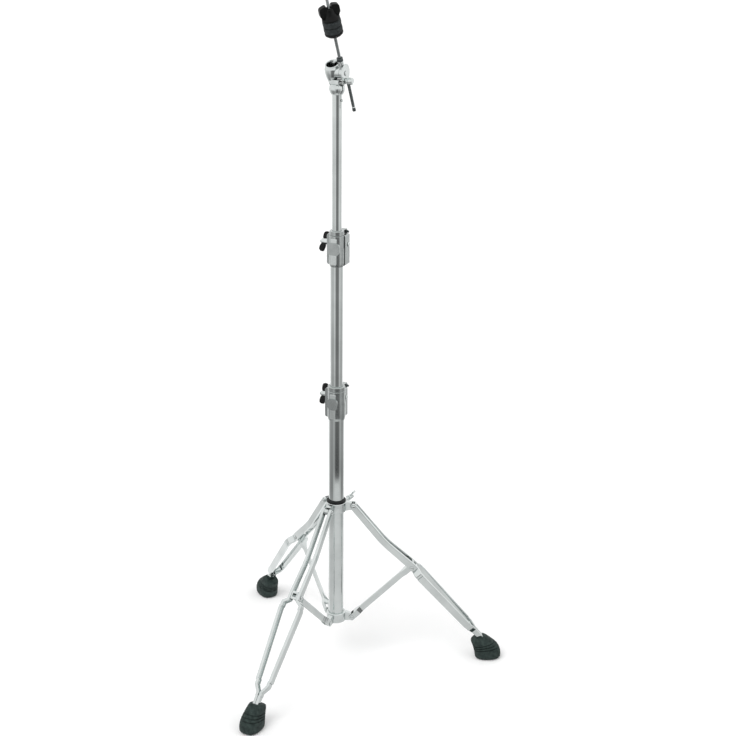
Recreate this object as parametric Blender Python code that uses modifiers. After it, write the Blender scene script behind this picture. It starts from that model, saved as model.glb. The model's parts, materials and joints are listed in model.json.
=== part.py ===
"""A double-braced straight cymbal stand, standing on three legs on the plane Z = 0.

The pole is built on the local Z axis. The hardware on the pole faces one way, HARDWARE_TURN from +X.
Every length is in metres.
"""
import math

import bmesh
import bpy
from mathutils import Vector

MM = 0.001
GAP = 0.3 * MM
DEG = math.pi / 180

# Tubes of the pole, and the heights of their ends
BASE_OD = 31.8 * MM
MIDDLE_OD = 25.4 * MM
UPPER_OD = 19.1 * MM
TUBE_WALL = 1.5 * MM
BASE_BOTTOM = 91.5 * MM
MIDDLE_HIDDEN = 150 * MM
UPPER_HIDDEN = 130 * MM
TUBE_SIDES = 40

# Leg linkage, in the plane of one leg
LEG_AZIMUTHS = {"right": 0.0, "front_left": -120.0, "rear_left": 120.0}
TOP_PIVOT_RADIUS = 36.0 * MM
TOP_PIVOT_HEIGHT = 359.0 * MM
LOW_PIVOT_RADIUS = 34.0 * MM
LOW_PIVOT_HEIGHT = 97.0 * MM
KNEE_RADIUS = 160.5 * MM
KNEE_HEIGHT = 219.0 * MM
FOLDED_BRACE_ANGLE = 4.0 * DEG

# Leg strips
STRIP_WIDTH = 6.0 * MM
STRIP_SHEET = 1.5 * MM
STRIP_TOP_DEPTH = 13.5 * MM
STRIP_LOW_DEPTH = 16.0 * MM
STRIP_END_DEPTH = 12.0 * MM
STRIP_LIFT = 2.5 * MM
BEND_SHARE = 0.56
BEND_DROP = 6.0 * MM
SPREAD_WIDE = 22.6 * MM
SPREAD_LOW = 15.0 * MM
NECK_RADIUS = 305.0 * MM
NECK_HEIGHT = 57.5 * MM
STRIP_IN_FOOT = 28.0 * MM

# Braces and pins
BRACE_SHEET = 1.4 * MM
BRACE_DEPTH = 12.5 * MM
BRACE_PIVOT_TO_WEB = 6.5 * MM
BRACE_END = 6.5 * MM
BRACE_WEB_START = 11.0 * MM
BRACE_SLACK = 0.6 * MM
KNEE_SLACK = 0.5 * MM
PIN_RADIUS = 2.5 * MM
RIVET_HEAD_RADIUS = 4.6 * MM
RIVET_HEAD_HEIGHT = 2.0 * MM

# Leg collars
LUG_THICKNESS = 9.4 * MM
COLLAR_HEIGHT = 21.0 * MM
COLLAR_WALL = 2.8 * MM
BUSH_WALL = 1.4 * MM
BUSH_LIP_HEIGHT = 5.5 * MM
WING_BOLT_AZIMUTH = 56.0 * DEG
WING_BOLT_REACH = 60.0 * MM
WING_BOLT_HUB = 16.0 * MM
WING_BOLT_TURN = 33.0 * DEG
WING_BOLT_SPAN = 40.0 * MM

# Rubber feet
FOOT_WIDTH = 43.0 * MM
FOOT_SOLE = 44.5 * MM
GROOVE_DEPTH = 1.3 * MM
GROOVES = 3

# Height clamps
HARDWARE_TURN = -25.0 * DEG
LOWER_CLAMP_BOTTOM = 554.5 * MM
UPPER_CLAMP_BOTTOM = 880.0 * MM
CLAMP_BODY_HEIGHT = 63.0 * MM
CLAMP_WALL = 2.4 * MM
SOCKET_DEPTH = 34.0 * MM
BUSH_LENGTH = 25.0 * MM
LOCK_HEIGHT = 9.0 * MM
BOLT_RADIUS = 3.0 * MM
BOLT_BEHIND = 1.4 * MM
LOWER_BLOCK_SIDES = (27.0 * MM, 12.0 * MM)
UPPER_BLOCK_SIDES = (23.8 * MM, 16.5 * MM)
LOWER_BLOCK_FRONT = 2.0 * MM
UPPER_BLOCK_FRONT = 4.0 * MM
BLOCK_CORNER = 2.5 * MM
BEHIND_BOLT = 2.2 * MM
CLAMP_SLIT = 2.6 * MM
LOWER_PAD_WIDTH = 22.0 * MM
UPPER_PAD_WIDTH = 27.0 * MM
PAD_START = 25.0 * MM
PAD_HEIGHT = 25.0 * MM
CLAMP_BOLT_HEIGHT = 41.5 * MM
NUT_LENGTH = 17.0 * MM
NUT_CLEAR = 1.0 * MM
NUT_BLADE_START = 5.0 * MM
CLAMP_NUT_TURN = 35.0 * DEG
WING_SPAN = 44.0 * MM
LOCK_LUG_SIDE = 11.0 * MM
KEY_HEIGHT = 3.9 * MM

# Tilter
TILT_HEIGHT = 1260.0 * MM
NECK_TOP = 1239.0 * MM
NECK_BOTTOM = 1219.0 * MM
NECK_RADIUS_OUT = 15.5 * MM
CUP_RADIUS = 14.6 * MM
CUP_WALL = 2.4 * MM
CUP_OFFSET = -10.5 * MM
CUP_MOUTH = 15.0 * MM
CUP_FACE = 7.9 * MM
HOLDER_THICKNESS = 7.6 * MM
CHEEK_RADIUS = 18.2 * MM
CHEEK_THICKNESS = 1.8 * MM
LEVER_DROP = 14.0 * MM
LEVER_REACH = 55.0 * MM
LEVER_SPLAY = 14.0 * DEG
LEVER_ROOT = 4.3 * MM
LEVER_HUB = 14.8 * MM
LEVER_HUB_RADIUS = 6.8 * MM
LEVER_HUB_LENGTH = 9.0 * MM
LEVER_ARM_RADIUS = 3.3 * MM
STOP_SCREW_HEIGHT = 1208.0 * MM

# Cymbal rod and what is on it, measured from the tilt axis along the rod
ROD_LEAN = 26.0 * DEG
ROD_RADIUS = 3.0 * MM
ROD_START = 20.0 * MM
ROD_END = 165.0 * MM
BOSS_END = 27.0 * MM
BOSS_RADIUS = 5.8 * MM
LOCK_NUT_HEIGHT = 6.8 * MM
LOCK_NUT_RADIUS = 6.8 * MM
SEAT_START = 81.0 * MM
SEAT_RADIUS = 17.8 * MM
SEAT_HEIGHT = 10.7 * MM
FELT_RADIUS = 18.0 * MM
LOWER_FELT_HEIGHT = 13.2 * MM
UPPER_FELT_HEIGHT = 13.2 * MM
SLEEVE_RADIUS = 5.6 * MM
NUT_HEIGHT = 29.0 * MM
NUT_SPAN = 39.5 * MM
NUT_TURN = 42.0 * DEG


def clear_scene():
    """Remove whatever the file holds."""
    for old in list(bpy.data.objects):
        bpy.data.objects.remove(old, do_unlink=True)


def new_collection(name):
    """A collection in the scene."""
    made = bpy.data.collections.new(name)
    bpy.context.scene.collection.children.link(made)
    return made


clear_scene()
STAND = new_collection("cymbal_stand")
CUTTERS = new_collection("cutters")


def finish(name, colour, roughness, metallic):
    """A Principled material with one colour."""
    made = bpy.data.materials.new(name)
    made.use_nodes = True
    shader = made.node_tree.nodes["Principled BSDF"]
    shader.inputs["Base Color"].default_value = (*colour, 1.0)
    shader.inputs["Roughness"].default_value = roughness
    shader.inputs["Metallic"].default_value = metallic
    return made


CHROME = finish("chrome_plated_steel", (0.62, 0.64, 0.64), 0.12, 1.0)
CAST = finish("chrome_plated_casting", (0.55, 0.57, 0.57), 0.22, 1.0)
DARK_STEEL = finish("dark_plated_steel", (0.12, 0.12, 0.12), 0.3, 1.0)
NYLON = finish("black_nylon", (0.015, 0.015, 0.015), 0.45, 0.0)
RUBBER = finish("black_rubber", (0.045, 0.055, 0.052), 0.7, 0.0)
FELT = finish("charcoal_felt", (0.035, 0.037, 0.037), 0.95, 0.0)
WING_BLACK = finish("black_coated_wing", (0.012, 0.012, 0.012), 0.35, 0.0)


def empty(name, parent, location=(0, 0, 0), rotation=(0, 0, 0)):
    """An axis marker that carries the pieces of one moving body."""
    marker = bpy.data.objects.new(name, None)
    STAND.objects.link(marker)
    marker.parent = parent
    marker.location = location
    marker.rotation_euler = rotation
    return marker


def add(name, mesh, material, parent, location=(0, 0, 0), rotation=(0, 0, 0)):
    """Put a mesh in the scene: a piece, or a cutter where the material is None."""
    obj = bpy.data.objects.new(name, mesh)
    obj.parent = parent
    obj.location = location
    obj.rotation_euler = rotation
    if material is None:
        CUTTERS.objects.link(obj)
        obj.hide_render = True
        obj.display_type = "WIRE"
    else:
        STAND.objects.link(obj)
        mesh.materials.append(material)
    return obj


def boolean(obj, other, operation):
    """Cut, join or trim an object with another one."""
    step = obj.modifiers.new(operation.lower(), "BOOLEAN")
    step.operation = operation
    step.solver = "EXACT"
    step.object = other


def turned(name, outline, material, parent, location=(0, 0, 0), rotation=(0, 0, 0), sides=24, ring=False):
    """Turn an (r, z) outline, given down its outer side, about local Z. A ring closes on itself."""
    points = [(r, 0.0, z) for r, z in outline]
    edges = [(i, i + 1) for i in range(len(points) - 1)]
    if ring:
        edges.append((len(points) - 1, 0))
    mesh = bpy.data.meshes.new(name)
    mesh.from_pydata(points, edges, [])
    obj = add(name, mesh, material, parent, location, rotation)
    spin = obj.modifiers.new("turn", "SCREW")
    spin.axis = "Z"
    spin.steps = sides
    spin.render_steps = sides
    spin.use_merge_vertices = True
    spin.merge_threshold = 0.00001
    return obj


def tube_outline(outer, inner, top, bottom, edge=0.4 * MM):
    """A plain tube with its outer edges broken."""
    return [(inner, top), (outer - edge, top), (outer, top - edge), (outer, bottom + edge),
            (outer - edge, bottom), (inner, bottom)]


def rod_outline(radius, top, bottom, edge=0.3 * MM):
    """A plain round bar with its edges broken."""
    return [(0, top), (radius - edge, top), (radius, top - edge), (radius, bottom + edge),
            (radius - edge, bottom), (0, bottom)]


def pin_outline(half_length, shank, head, head_height):
    """A rivet with a low domed head at each end. half_length is half the grip."""
    tip = half_length + head_height
    dome = [(0, tip), (head * 0.6, tip - head_height * 0.15), (head, half_length + head_height * 0.4),
            (head, half_length), (shank, half_length)]
    return dome + [(r, -z) for r, z in reversed(dome)]


def arc(centre_x, centre_y, radius, start, end, steps):
    """Points along a circular arc, angles in degrees."""
    turns = [start + (end - start) * i / steps for i in range(steps + 1)]
    return [(centre_x + radius * math.cos(t * DEG), centre_y + radius * math.sin(t * DEG)) for t in turns]


def plate_mesh(name, outline, thickness):
    """A flat outline with a thickness, as a welded mesh in the XY plane."""
    curve = bpy.data.curves.new(name, "CURVE")
    curve.dimensions = "2D"
    curve.fill_mode = "BOTH"
    curve.extrude = thickness / 2
    spline = curve.splines.new("POLY")
    spline.points.add(len(outline) - 1)
    for point, (x, y) in zip(spline.points, outline):
        point.co = (x, y, 0, 1)
    spline.use_cyclic_u = True
    flat = bpy.data.objects.new(name, curve)
    STAND.objects.link(flat)
    depsgraph = bpy.context.evaluated_depsgraph_get()
    mesh = bpy.data.meshes.new_from_object(flat.evaluated_get(depsgraph), depsgraph=depsgraph)
    bpy.data.objects.remove(flat, do_unlink=True)
    bpy.data.curves.remove(curve)
    work = bmesh.new()
    work.from_mesh(mesh)
    bmesh.ops.remove_doubles(work, verts=work.verts, dist=0.000001)
    bmesh.ops.recalc_face_normals(work, faces=work.faces)
    work.to_mesh(mesh)
    work.free()
    return mesh


def plate(name, outline, thickness, material, parent, location=(0, 0, 0), rotation=(0, 0, 0)):
    """A flat piece."""
    return add(name, plate_mesh(name, outline, thickness), material, parent, location, rotation)


def box(name, size, material, parent, location=(0, 0, 0), rotation=(0, 0, 0)):
    """A block centred on its location."""
    work = bmesh.new()
    bmesh.ops.create_cube(work, size=1.0)
    bmesh.ops.scale(work, vec=Vector(size), verts=work.verts)
    mesh = bpy.data.meshes.new(name)
    work.to_mesh(mesh)
    work.free()
    return add(name, mesh, material, parent, location, rotation)


def bar(name, radius, length, material, parent, location=(0, 0, 0), rotation=(0, 0, 0), sides=16, end=None):
    """A cylinder along its local Z, centred on its location, or a cone where end gives the far radius."""
    work = bmesh.new()
    far = radius if end is None else end
    bmesh.ops.create_cone(work, cap_ends=True, segments=sides, radius1=radius, radius2=far, depth=length)
    mesh = bpy.data.meshes.new(name)
    work.to_mesh(mesh)
    work.free()
    return add(name, mesh, material, parent, location, rotation)


ALONG_Y = (90 * DEG, 0, 0)
ALONG_X = (0, 90 * DEG, 0)


def loft_mesh(name, rings):
    """Skin a list of equal rings of points and close both ends."""
    work = bmesh.new()
    rows = [[work.verts.new(point) for point in ring] for ring in rings]
    count = len(rows[0])
    for lower, upper in zip(rows, rows[1:]):
        for i in range(count):
            j = (i + 1) % count
            work.faces.new((lower[i], lower[j], upper[j], upper[i]))
    work.faces.new(rows[0])
    work.faces.new(rows[-1])
    bmesh.ops.recalc_face_normals(work, faces=work.faces)
    mesh = bpy.data.meshes.new(name)
    work.to_mesh(mesh)
    work.free()
    return mesh


# Leg linkage worked out from its pivots
TOP_PIVOT = Vector((TOP_PIVOT_RADIUS, 0, TOP_PIVOT_HEIGHT))
LOW_PIVOT = Vector((LOW_PIVOT_RADIUS, 0, LOW_PIVOT_HEIGHT))
KNEE = Vector((KNEE_RADIUS, 0, KNEE_HEIGHT))
NECK = Vector((NECK_RADIUS, 0, NECK_HEIGHT))
BRACE_LENGTH = (KNEE - LOW_PIVOT).length
THIGH_LENGTH = (KNEE - TOP_PIVOT).length
BRACE_WIDTH = LUG_THICKNESS + 2 * (BRACE_SLACK + BRACE_SHEET)
SPREAD_KNEE = BRACE_WIDTH / 2 + KNEE_SLACK + STRIP_WIDTH / 2
BRACE_ANGLE = math.atan2(KNEE_RADIUS - LOW_PIVOT_RADIUS, KNEE_HEIGHT - LOW_PIVOT_HEIGHT)
THIGH_ANGLE = math.atan2(KNEE_RADIUS - TOP_PIVOT_RADIUS, TOP_PIVOT_HEIGHT - KNEE_HEIGHT)


def folded_pose():
    """The leg's angle to the brace, and the collar's height, when the brace stands at its folded angle."""
    reach = LOW_PIVOT_RADIUS + BRACE_LENGTH * math.sin(FOLDED_BRACE_ANGLE) - TOP_PIVOT_RADIUS
    thigh = math.asin(reach / THIGH_LENGTH)
    rise = BRACE_LENGTH * math.cos(FOLDED_BRACE_ANGLE) + THIGH_LENGTH * math.cos(thigh)
    return thigh, LOW_PIVOT_HEIGHT + rise


# Base of the pole
COLLAR_BORE = BASE_OD / 2 + GAP
LOW_COLLAR_OUT = COLLAR_BORE + COLLAR_WALL + BUSH_WALL
PLUG_LIP = 3.5 * MM
LOW_COLLAR_BOTTOM = LOW_PIVOT_HEIGHT - 7.0 * MM
UPPER_COLLAR_BOTTOM = TOP_PIVOT_HEIGHT - COLLAR_HEIGHT / 2 - 0.5 * MM
BUSH_OUT = COLLAR_BORE + BUSH_WALL
SLIDE_COLLAR_OUT = BUSH_OUT + GAP + COLLAR_WALL


def base_tube(parent):
    """The base tube and the plug in its lower end."""
    inner = BASE_OD / 2 - TUBE_WALL
    top = LOWER_CLAMP_BOTTOM + SOCKET_DEPTH
    turned("base_tube", tube_outline(BASE_OD / 2, inner, top, BASE_BOTTOM), CHROME, parent,
           sides=TUBE_SIDES, ring=True)
    stem = inner - GAP
    lip_top = BASE_BOTTOM - GAP
    outline = [(0, lip_top + 16 * MM), (stem - 1 * MM, lip_top + 16 * MM), (stem, lip_top + 14 * MM),
               (stem, lip_top), (BASE_OD / 2, lip_top), (BASE_OD / 2, lip_top - PLUG_LIP + 1 * MM),
               (BASE_OD / 2 - 1 * MM, lip_top - PLUG_LIP), (0, lip_top - PLUG_LIP)]
    turned("base_plug", outline, NYLON, parent, sides=32)


def lug_outline(inner, pivot, bottom, top, nose):
    """Side outline of a collar lug, around a pivot at the height 0."""
    back = [(inner + 6 * MM, top), (inner, top)]
    return [(inner, bottom), (pivot, -nose)] + arc(pivot, 0, nose, -75, 60, 6) + back


def add_lugs(collar, parent, inner, pivot, bottom, top, nose, pivot_z, slot_open):
    """Join three lugs to a collar and cut their pin holes. An open slot runs up out of the lug."""
    hole = PIN_RADIUS + GAP
    for side, azimuth in LEG_AZIMUTHS.items():
        turn = azimuth * DEG
        seat = (0, 0, pivot_z)
        stand_up = (90 * DEG, 0, turn)
        lug = plate(f"{collar.name}_lug_{side}", lug_outline(inner, pivot, bottom, top, nose), LUG_THICKNESS,
                    None, parent, seat, stand_up)
        boolean(collar, lug, "UNION")
    for side, azimuth in LEG_AZIMUTHS.items():
        turn = azimuth * DEG
        outward = Vector((math.cos(turn), math.sin(turn), 0))
        spot = outward * pivot + Vector((0, 0, pivot_z))
        pin = bar(f"{collar.name}_hole_{side}", hole, LUG_THICKNESS * 2, None, parent, spot,
                  (90 * DEG, 0, turn), sides=16)
        boolean(collar, pin, "DIFFERENCE")
        if slot_open:
            rise = 20 * MM
            slot = box(f"{collar.name}_slot_{side}", (hole * 2.2, LUG_THICKNESS * 2, rise), None, parent,
                       spot + Vector((0, 0, rise / 2)), (0, 0, turn))
            boolean(collar, slot, "DIFFERENCE")


def lower_leg_collar(parent):
    """The collar that stays at the foot of the tube and carries the braces."""
    height = COLLAR_HEIGHT
    outline = tube_outline(LOW_COLLAR_OUT, COLLAR_BORE, height, 0, 1.2 * MM)
    collar = turned("lower_leg_collar", [(r, z + LOW_COLLAR_BOTTOM - LOW_PIVOT_HEIGHT) for r, z in outline],
                    CAST, parent, (0, 0, LOW_PIVOT_HEIGHT), sides=36, ring=True)
    add_lugs(collar, parent, COLLAR_BORE + 1.5 * MM, LOW_PIVOT_RADIUS, -7 * MM, 12 * MM, BRACE_END - 0.3 * MM,
             LOW_PIVOT_HEIGHT, False)


def sliding_collar(parent):
    """The sliding collar, its bush and its wing bolt, around the height of the leg tops."""
    bottom = UPPER_COLLAR_BOTTOM - TOP_PIVOT_HEIGHT
    top = bottom + COLLAR_HEIGHT
    outline = tube_outline(SLIDE_COLLAR_OUT, BUSH_OUT + GAP, top, bottom, 1.0 * MM)
    collar = turned("upper_leg_collar", outline, CAST, parent, sides=36, ring=True)
    add_lugs(collar, parent, BUSH_OUT + GAP + 1.2 * MM, TOP_PIVOT_RADIUS, bottom + 1 * MM, top - 1 * MM,
             7.2 * MM, 0, True)
    bolt_turn = WING_BOLT_AZIMUTH
    outward = Vector((math.cos(bolt_turn), math.sin(bolt_turn), 0))
    boss_inner = BUSH_OUT + GAP + 1.2 * MM
    boss_length = 10 * MM
    aim = (0, 90 * DEG, bolt_turn)
    boss = bar("collar_bolt_boss", 6.5 * MM, boss_length, None, parent,
               outward * (boss_inner + boss_length / 2), aim, sides=20)
    boolean(collar, boss, "UNION")
    bore = bar("collar_bolt_bore", BOLT_RADIUS + GAP, 30 * MM, None, parent, outward * (boss_inner + 8 * MM),
               aim, sides=16)
    boolean(collar, bore, "DIFFERENCE")
    lip, lip_bottom = SLIDE_COLLAR_OUT - 0.4 * MM, top + GAP
    lip_top = lip_bottom + BUSH_LIP_HEIGHT
    bush_outline = [(COLLAR_BORE, lip_top), (lip - 1.2 * MM, lip_top), (lip, lip_top - 1.4 * MM),
                    (lip, lip_bottom), (BUSH_OUT, lip_bottom), (BUSH_OUT, bottom), (COLLAR_BORE, bottom)]
    turned("collar_bush", bush_outline, NYLON, parent, sides=36, ring=True)


def collar_wing_bolt(parent):
    """The bolt that locks the sliding collar. Local Z points outward from the pole, from the bush."""
    start = BUSH_OUT + GAP
    end = WING_BOLT_REACH
    hub_start = end - WING_BOLT_HUB
    outline = [(0, end), (4 * MM, end), (5.2 * MM, end - 1.4 * MM), (6 * MM, hub_start),
               (BOLT_RADIUS, hub_start - 0.8 * MM), (BOLT_RADIUS, start), (0, start)]
    bolt = turned("collar_wing_bolt", outline, CHROME, parent, sides=16)
    wing = plate("collar_wing_blade", wing_outline(WING_BOLT_SPAN, 10 * MM, 3 * MM), 3.4 * MM, None, parent,
                 (0, 0, hub_start + 1 * MM), (90 * DEG, 0, 0))
    boolean(bolt, wing, "UNION")


def wing_outline(span, root_height, sweep):
    """A two-lobed wing in its own plane: x is the radius, y runs outward along the bolt."""
    lobe = root_height / 2
    centre = span / 2 - lobe
    right = [(2 * MM, 1 * MM)] + arc(centre, lobe + sweep, lobe, -80, 100, 6) + [(2 * MM, root_height * 0.8)]
    left = [(-x, y) for x, y in reversed(right)]
    return right + left


# Legs
def strip_path():
    """Centre line of one strip in the leg's plane, with its depth and its distance from that plane."""
    along = (KNEE - TOP_PIVOT).normalized()
    out_normal = Vector((-along.z, 0, along.x))
    bend = TOP_PIVOT + along * THIGH_LENGTH * BEND_SHARE - out_normal * BEND_DROP
    knee = KNEE + out_normal * STRIP_LIFT
    down = (NECK - knee).normalized()
    shin = (NECK - knee).length
    first = (bend - TOP_PIVOT).normalized()
    spread_top = LUG_THICKNESS / 2 + 0.5 * MM + STRIP_WIDTH / 2
    half = STRIP_TOP_DEPTH / 2
    stops = []
    for share in (-0.92, -0.7, -0.3):
        depth = 2 * math.sqrt(half ** 2 - (share * half) ** 2)
        stops.append((TOP_PIVOT + first * share * half, depth, spread_top))
    stops.append((TOP_PIVOT + first * half, STRIP_TOP_DEPTH, spread_top))
    middle = (spread_top + SPREAD_KNEE) / 2
    into_knee = (knee - bend).normalized()
    for share in (-1, 0, 1):
        bow = out_normal * (abs(share) - 1) * -1.2 * MM
        step = first if share < 0 else into_knee
        stops.append((bend + step * share * 11 * MM + bow, STRIP_TOP_DEPTH + 0.5 * MM, middle))
    for offset in (-12 * MM, -2 * MM):
        stops.append((knee + into_knee * offset, STRIP_LOW_DEPTH - 0.6 * MM, SPREAD_KNEE))
    stops.append((knee + down * 6 * MM, STRIP_LOW_DEPTH, SPREAD_KNEE))
    stops.append((knee + down * 22 * MM, STRIP_LOW_DEPTH, SPREAD_WIDE - 1.5 * MM))
    stops.append((knee + down * 31 * MM, STRIP_LOW_DEPTH, SPREAD_WIDE))
    end_spread = STRIP_WIDTH / 2 + GAP
    stops.append((knee + down * (shin - 41 * MM), STRIP_LOW_DEPTH - 1 * MM, SPREAD_LOW + 0.4 * MM))
    stops.append((knee + down * (shin - 31 * MM), STRIP_LOW_DEPTH - 1.5 * MM, SPREAD_LOW - 1.6 * MM))
    stops.append((knee + down * (shin - 8 * MM), STRIP_END_DEPTH, end_spread + 0.8 * MM))
    stops.append((NECK.copy(), STRIP_END_DEPTH, end_spread))
    stops.append((NECK + down * STRIP_IN_FOOT, STRIP_END_DEPTH, end_spread))
    return stops


def channel_ring(centre, deep, wide, depth):
    """Section of a strip, open towards its partner. deep and wide are its unit axes, wide outward."""
    h, w, t, c = depth / 2, STRIP_WIDTH / 2, STRIP_SHEET, 1.7 * MM
    corner = c * 0.3
    flat = [(-h, -w), (-h, w - c), (-h + corner, w - corner), (-h + c, w), (h - c, w),
            (h - corner, w - corner), (h, w - c), (h, -w), (h - t, -w), (h - t, w - t), (-h + t, w - t),
            (-h + t, -w)]
    return [centre + deep * x + wide * y for x, y in flat]


def leg_strip(name, side, parent):
    """One of the two strips of a leg, side +1 or -1 of its plane. The parent's origin is the knee."""
    stops = strip_path()
    centres = [Vector((point.x, side * spread, point.z)) - KNEE for point, depth, spread in stops]
    rings = []
    for i, (point, depth, spread) in enumerate(stops):
        before = centres[max(i - 1, 0)]
        after = centres[min(i + 1, len(centres) - 1)]
        run = (after - before).normalized()
        deep = run.cross(Vector((0, side, 0))).normalized()
        wide = deep.cross(run).normalized()
        if wide.y * side < 0:
            wide = -wide
        rings.append(channel_ring(centres[i], deep, wide, depth))
    strip = add(name, loft_mesh(name, rings), CHROME, parent)
    for label, spot in (("top", TOP_PIVOT - KNEE), ("knee", Vector((0, 0, 0)))):
        hole = bar(f"{name}_{label}_hole", PIN_RADIUS + GAP, 60 * MM, None, parent, spot, ALONG_Y, sides=16)
        boolean(strip, hole, "DIFFERENCE")


def leg_bridge(name, parent):
    """The windowed plate between the two strips, above the knee rivet. The origin is the knee."""
    along = (NECK - TOP_PIVOT).normalized()
    tilt = math.atan2(-along.z, along.x)
    outward = Vector((-along.z, 0, along.x))
    width = 2 * (SPREAD_KNEE - STRIP_WIDTH / 2 - GAP)
    length, sheet = 17 * MM, 1.8 * MM
    lift = STRIP_LIFT + STRIP_LOW_DEPTH / 2 - sheet
    seat = outward * lift
    bridge = box(name, (length, width, sheet), CHROME, parent, seat, (0, tilt, 0))
    window = box(f"{name}_window", (length * 0.42, width - 5 * MM, sheet * 3), None, parent, seat,
                 (0, tilt, 0))
    boolean(bridge, window, "DIFFERENCE")


def foot_stations():
    """Heel and toe points of the foot's slices, from the sole up, with half widths. x runs outward."""
    heel = NECK_RADIUS + 0.5 * MM
    toe = heel + FOOT_SOLE
    half = FOOT_WIDTH / 2
    top = NECK_HEIGHT
    return [(heel, 0, toe, 0, half * 0.82),
            (heel - 3.5 * MM, 3.5 * MM, toe + 7.0 * MM, 5 * MM, half * 0.975),
            (heel - 5.0 * MM, top * 0.23, toe + 6.5 * MM, top * 0.33, half),
            (heel - 7.5 * MM, top * 0.40, toe - 1.0 * MM, top * 0.56, half * 0.93),
            (heel - 10.5 * MM, top * 0.56, toe - 14.0 * MM, top * 0.75, half * 0.84),
            (heel - 13.0 * MM, top * 0.68, toe - 25.0 * MM, top * 0.885, half * 0.745),
            (heel - 11.5 * MM, top * 0.74, toe - 29.0 * MM, top * 0.92, half * 0.63)]


def foot_slice(position, inset):
    """One slice of the foot at a position between its stations, drawn in by an inset."""
    stations = foot_stations()
    low = min(int(position), len(stations) - 2)
    share = position - low
    mixed = [a + (b - a) * share for a, b in zip(stations[low], stations[low + 1])]
    heel, toe, half_width = Vector((mixed[0], 0, mixed[1])), Vector((mixed[2], 0, mixed[3])), mixed[4]
    centre = (heel + toe) / 2
    reach = (toe - heel).normalized()
    half_length = (toe - heel).length / 2 - inset
    ring = []
    for i in range(24):
        angle = 2 * math.pi * i / 24
        c, s = math.cos(angle), math.sin(angle)
        x = math.copysign(abs(c) ** 0.78, c) * half_length
        y = math.copysign(abs(s) ** 0.78, s) * (half_width - inset)
        ring.append(centre + reach * x + Vector((0, y, 0)) - KNEE)
    return ring


def leg_foot(name, parent):
    """The ribbed rubber foot, with the pocket that takes the strip ends. The origin is the knee."""
    places = [(0, 0), (1, 0), (2, 0)]
    pitch = 0.62
    for i in range(GROOVES):
        middle = 2.45 + pitch * i
        places += [(middle - 0.13, 0), (middle, GROOVE_DEPTH), (middle + 0.13, 0)]
    places += [(4.4, 0), (5, 0), (6, 0)]
    foot = add(name, loft_mesh(name, [foot_slice(p, inset) for p, inset in places]), RUBBER, parent)
    knee = strip_path()[-1][0]
    down = (knee - NECK).normalized()
    depth = STRIP_IN_FOOT + 30 * MM
    middle = NECK + down * (STRIP_IN_FOOT + GAP - depth / 2) - KNEE
    across = 2 * (STRIP_WIDTH + GAP) + 2 * GAP
    pocket = box(f"{name}_pocket", (depth, across, STRIP_END_DEPTH + 2 * GAP), None, parent, middle,
                 (0, math.atan2(-down.z, down.x), 0))
    boolean(foot, pocket, "DIFFERENCE")


def brace_outline():
    """Side view of a brace: x along it from the collar pin, y towards the web, with round ends."""
    web, lip = BRACE_PIVOT_TO_WEB, BRACE_PIVOT_TO_WEB - BRACE_DEPTH
    nose = BRACE_END
    low = math.asin(-lip / nose) / DEG
    high = math.asin(min(web / nose, 1.0)) / DEG
    return arc(BRACE_LENGTH, 0, nose, -low, high, 7) + arc(0, 0, nose, 180 - high, 180 + low, 7)


def brace(name, parent):
    """The folded channel from the lower collar to the knee, its web up. Local X runs from the collar pin."""
    channel = plate(name, brace_outline(), BRACE_WIDTH, CHROME, parent, rotation=(90 * DEG, 0, 0))
    inside = BRACE_WIDTH - 2 * BRACE_SHEET
    web = BRACE_PIVOT_TO_WEB
    hollow = box(f"{name}_hollow", (BRACE_LENGTH + 60 * MM, inside, BRACE_DEPTH), None, parent,
                 (BRACE_LENGTH / 2, 0, web - BRACE_SHEET - BRACE_DEPTH / 2))
    boolean(channel, hollow, "DIFFERENCE")
    relief = BRACE_END + BRACE_WEB_START
    notch = box(f"{name}_notch", (relief, inside, BRACE_DEPTH), None, parent,
                (BRACE_WEB_START - relief / 2, 0, web))
    boolean(channel, notch, "DIFFERENCE")
    for label, x in (("collar", 0), ("knee", BRACE_LENGTH)):
        hole = bar(f"{name}_{label}_hole", PIN_RADIUS + GAP, 60 * MM, None, parent, (x, 0, 0), ALONG_Y,
                   sides=16)
        boolean(channel, hole, "DIFFERENCE")


def tripod(base):
    """Three legs with their braces and pins, from one set of sizes."""
    grip = LUG_THICKNESS / 2 + 0.5 * MM + STRIP_WIDTH + GAP
    for side, azimuth in LEG_AZIMUTHS.items():
        turn = azimuth * DEG
        plane = empty(f"leg_plane_{side}", base, rotation=(0, 0, turn))
        fold = empty(f"brace_axis_{side}", plane, LOW_PIVOT, (0, BRACE_ANGLE - 90 * DEG, 0))
        brace(f"brace_{side}", fold)
        pin = pin_outline(BRACE_WIDTH / 2 + GAP, PIN_RADIUS, RIVET_HEAD_RADIUS, RIVET_HEAD_HEIGHT)
        turned(f"brace_pin_{side}", pin, CHROME, fold, rotation=ALONG_Y, sides=12)
        knee = empty(f"knee_axis_{side}", plane, KNEE)
        leg_strip(f"leg_strip_{side}_a", 1, knee)
        leg_strip(f"leg_strip_{side}_b", -1, knee)
        leg_bridge(f"leg_bridge_{side}", knee)
        leg_foot(f"foot_{side}", knee)
        knee_pin = pin_outline(SPREAD_KNEE + STRIP_WIDTH / 2 + GAP, PIN_RADIUS, RIVET_HEAD_RADIUS,
                               RIVET_HEAD_HEIGHT)
        turned(f"knee_rivet_{side}", knee_pin, CHROME, knee, rotation=ALONG_Y, sides=12)
        top_pin = pin_outline(grip, PIN_RADIUS, RIVET_HEAD_RADIUS, RIVET_HEAD_HEIGHT)
        turned(f"leg_top_pin_{side}", top_pin, CHROME, knee, TOP_PIVOT - KNEE, ALONG_Y, sides=12)


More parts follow.
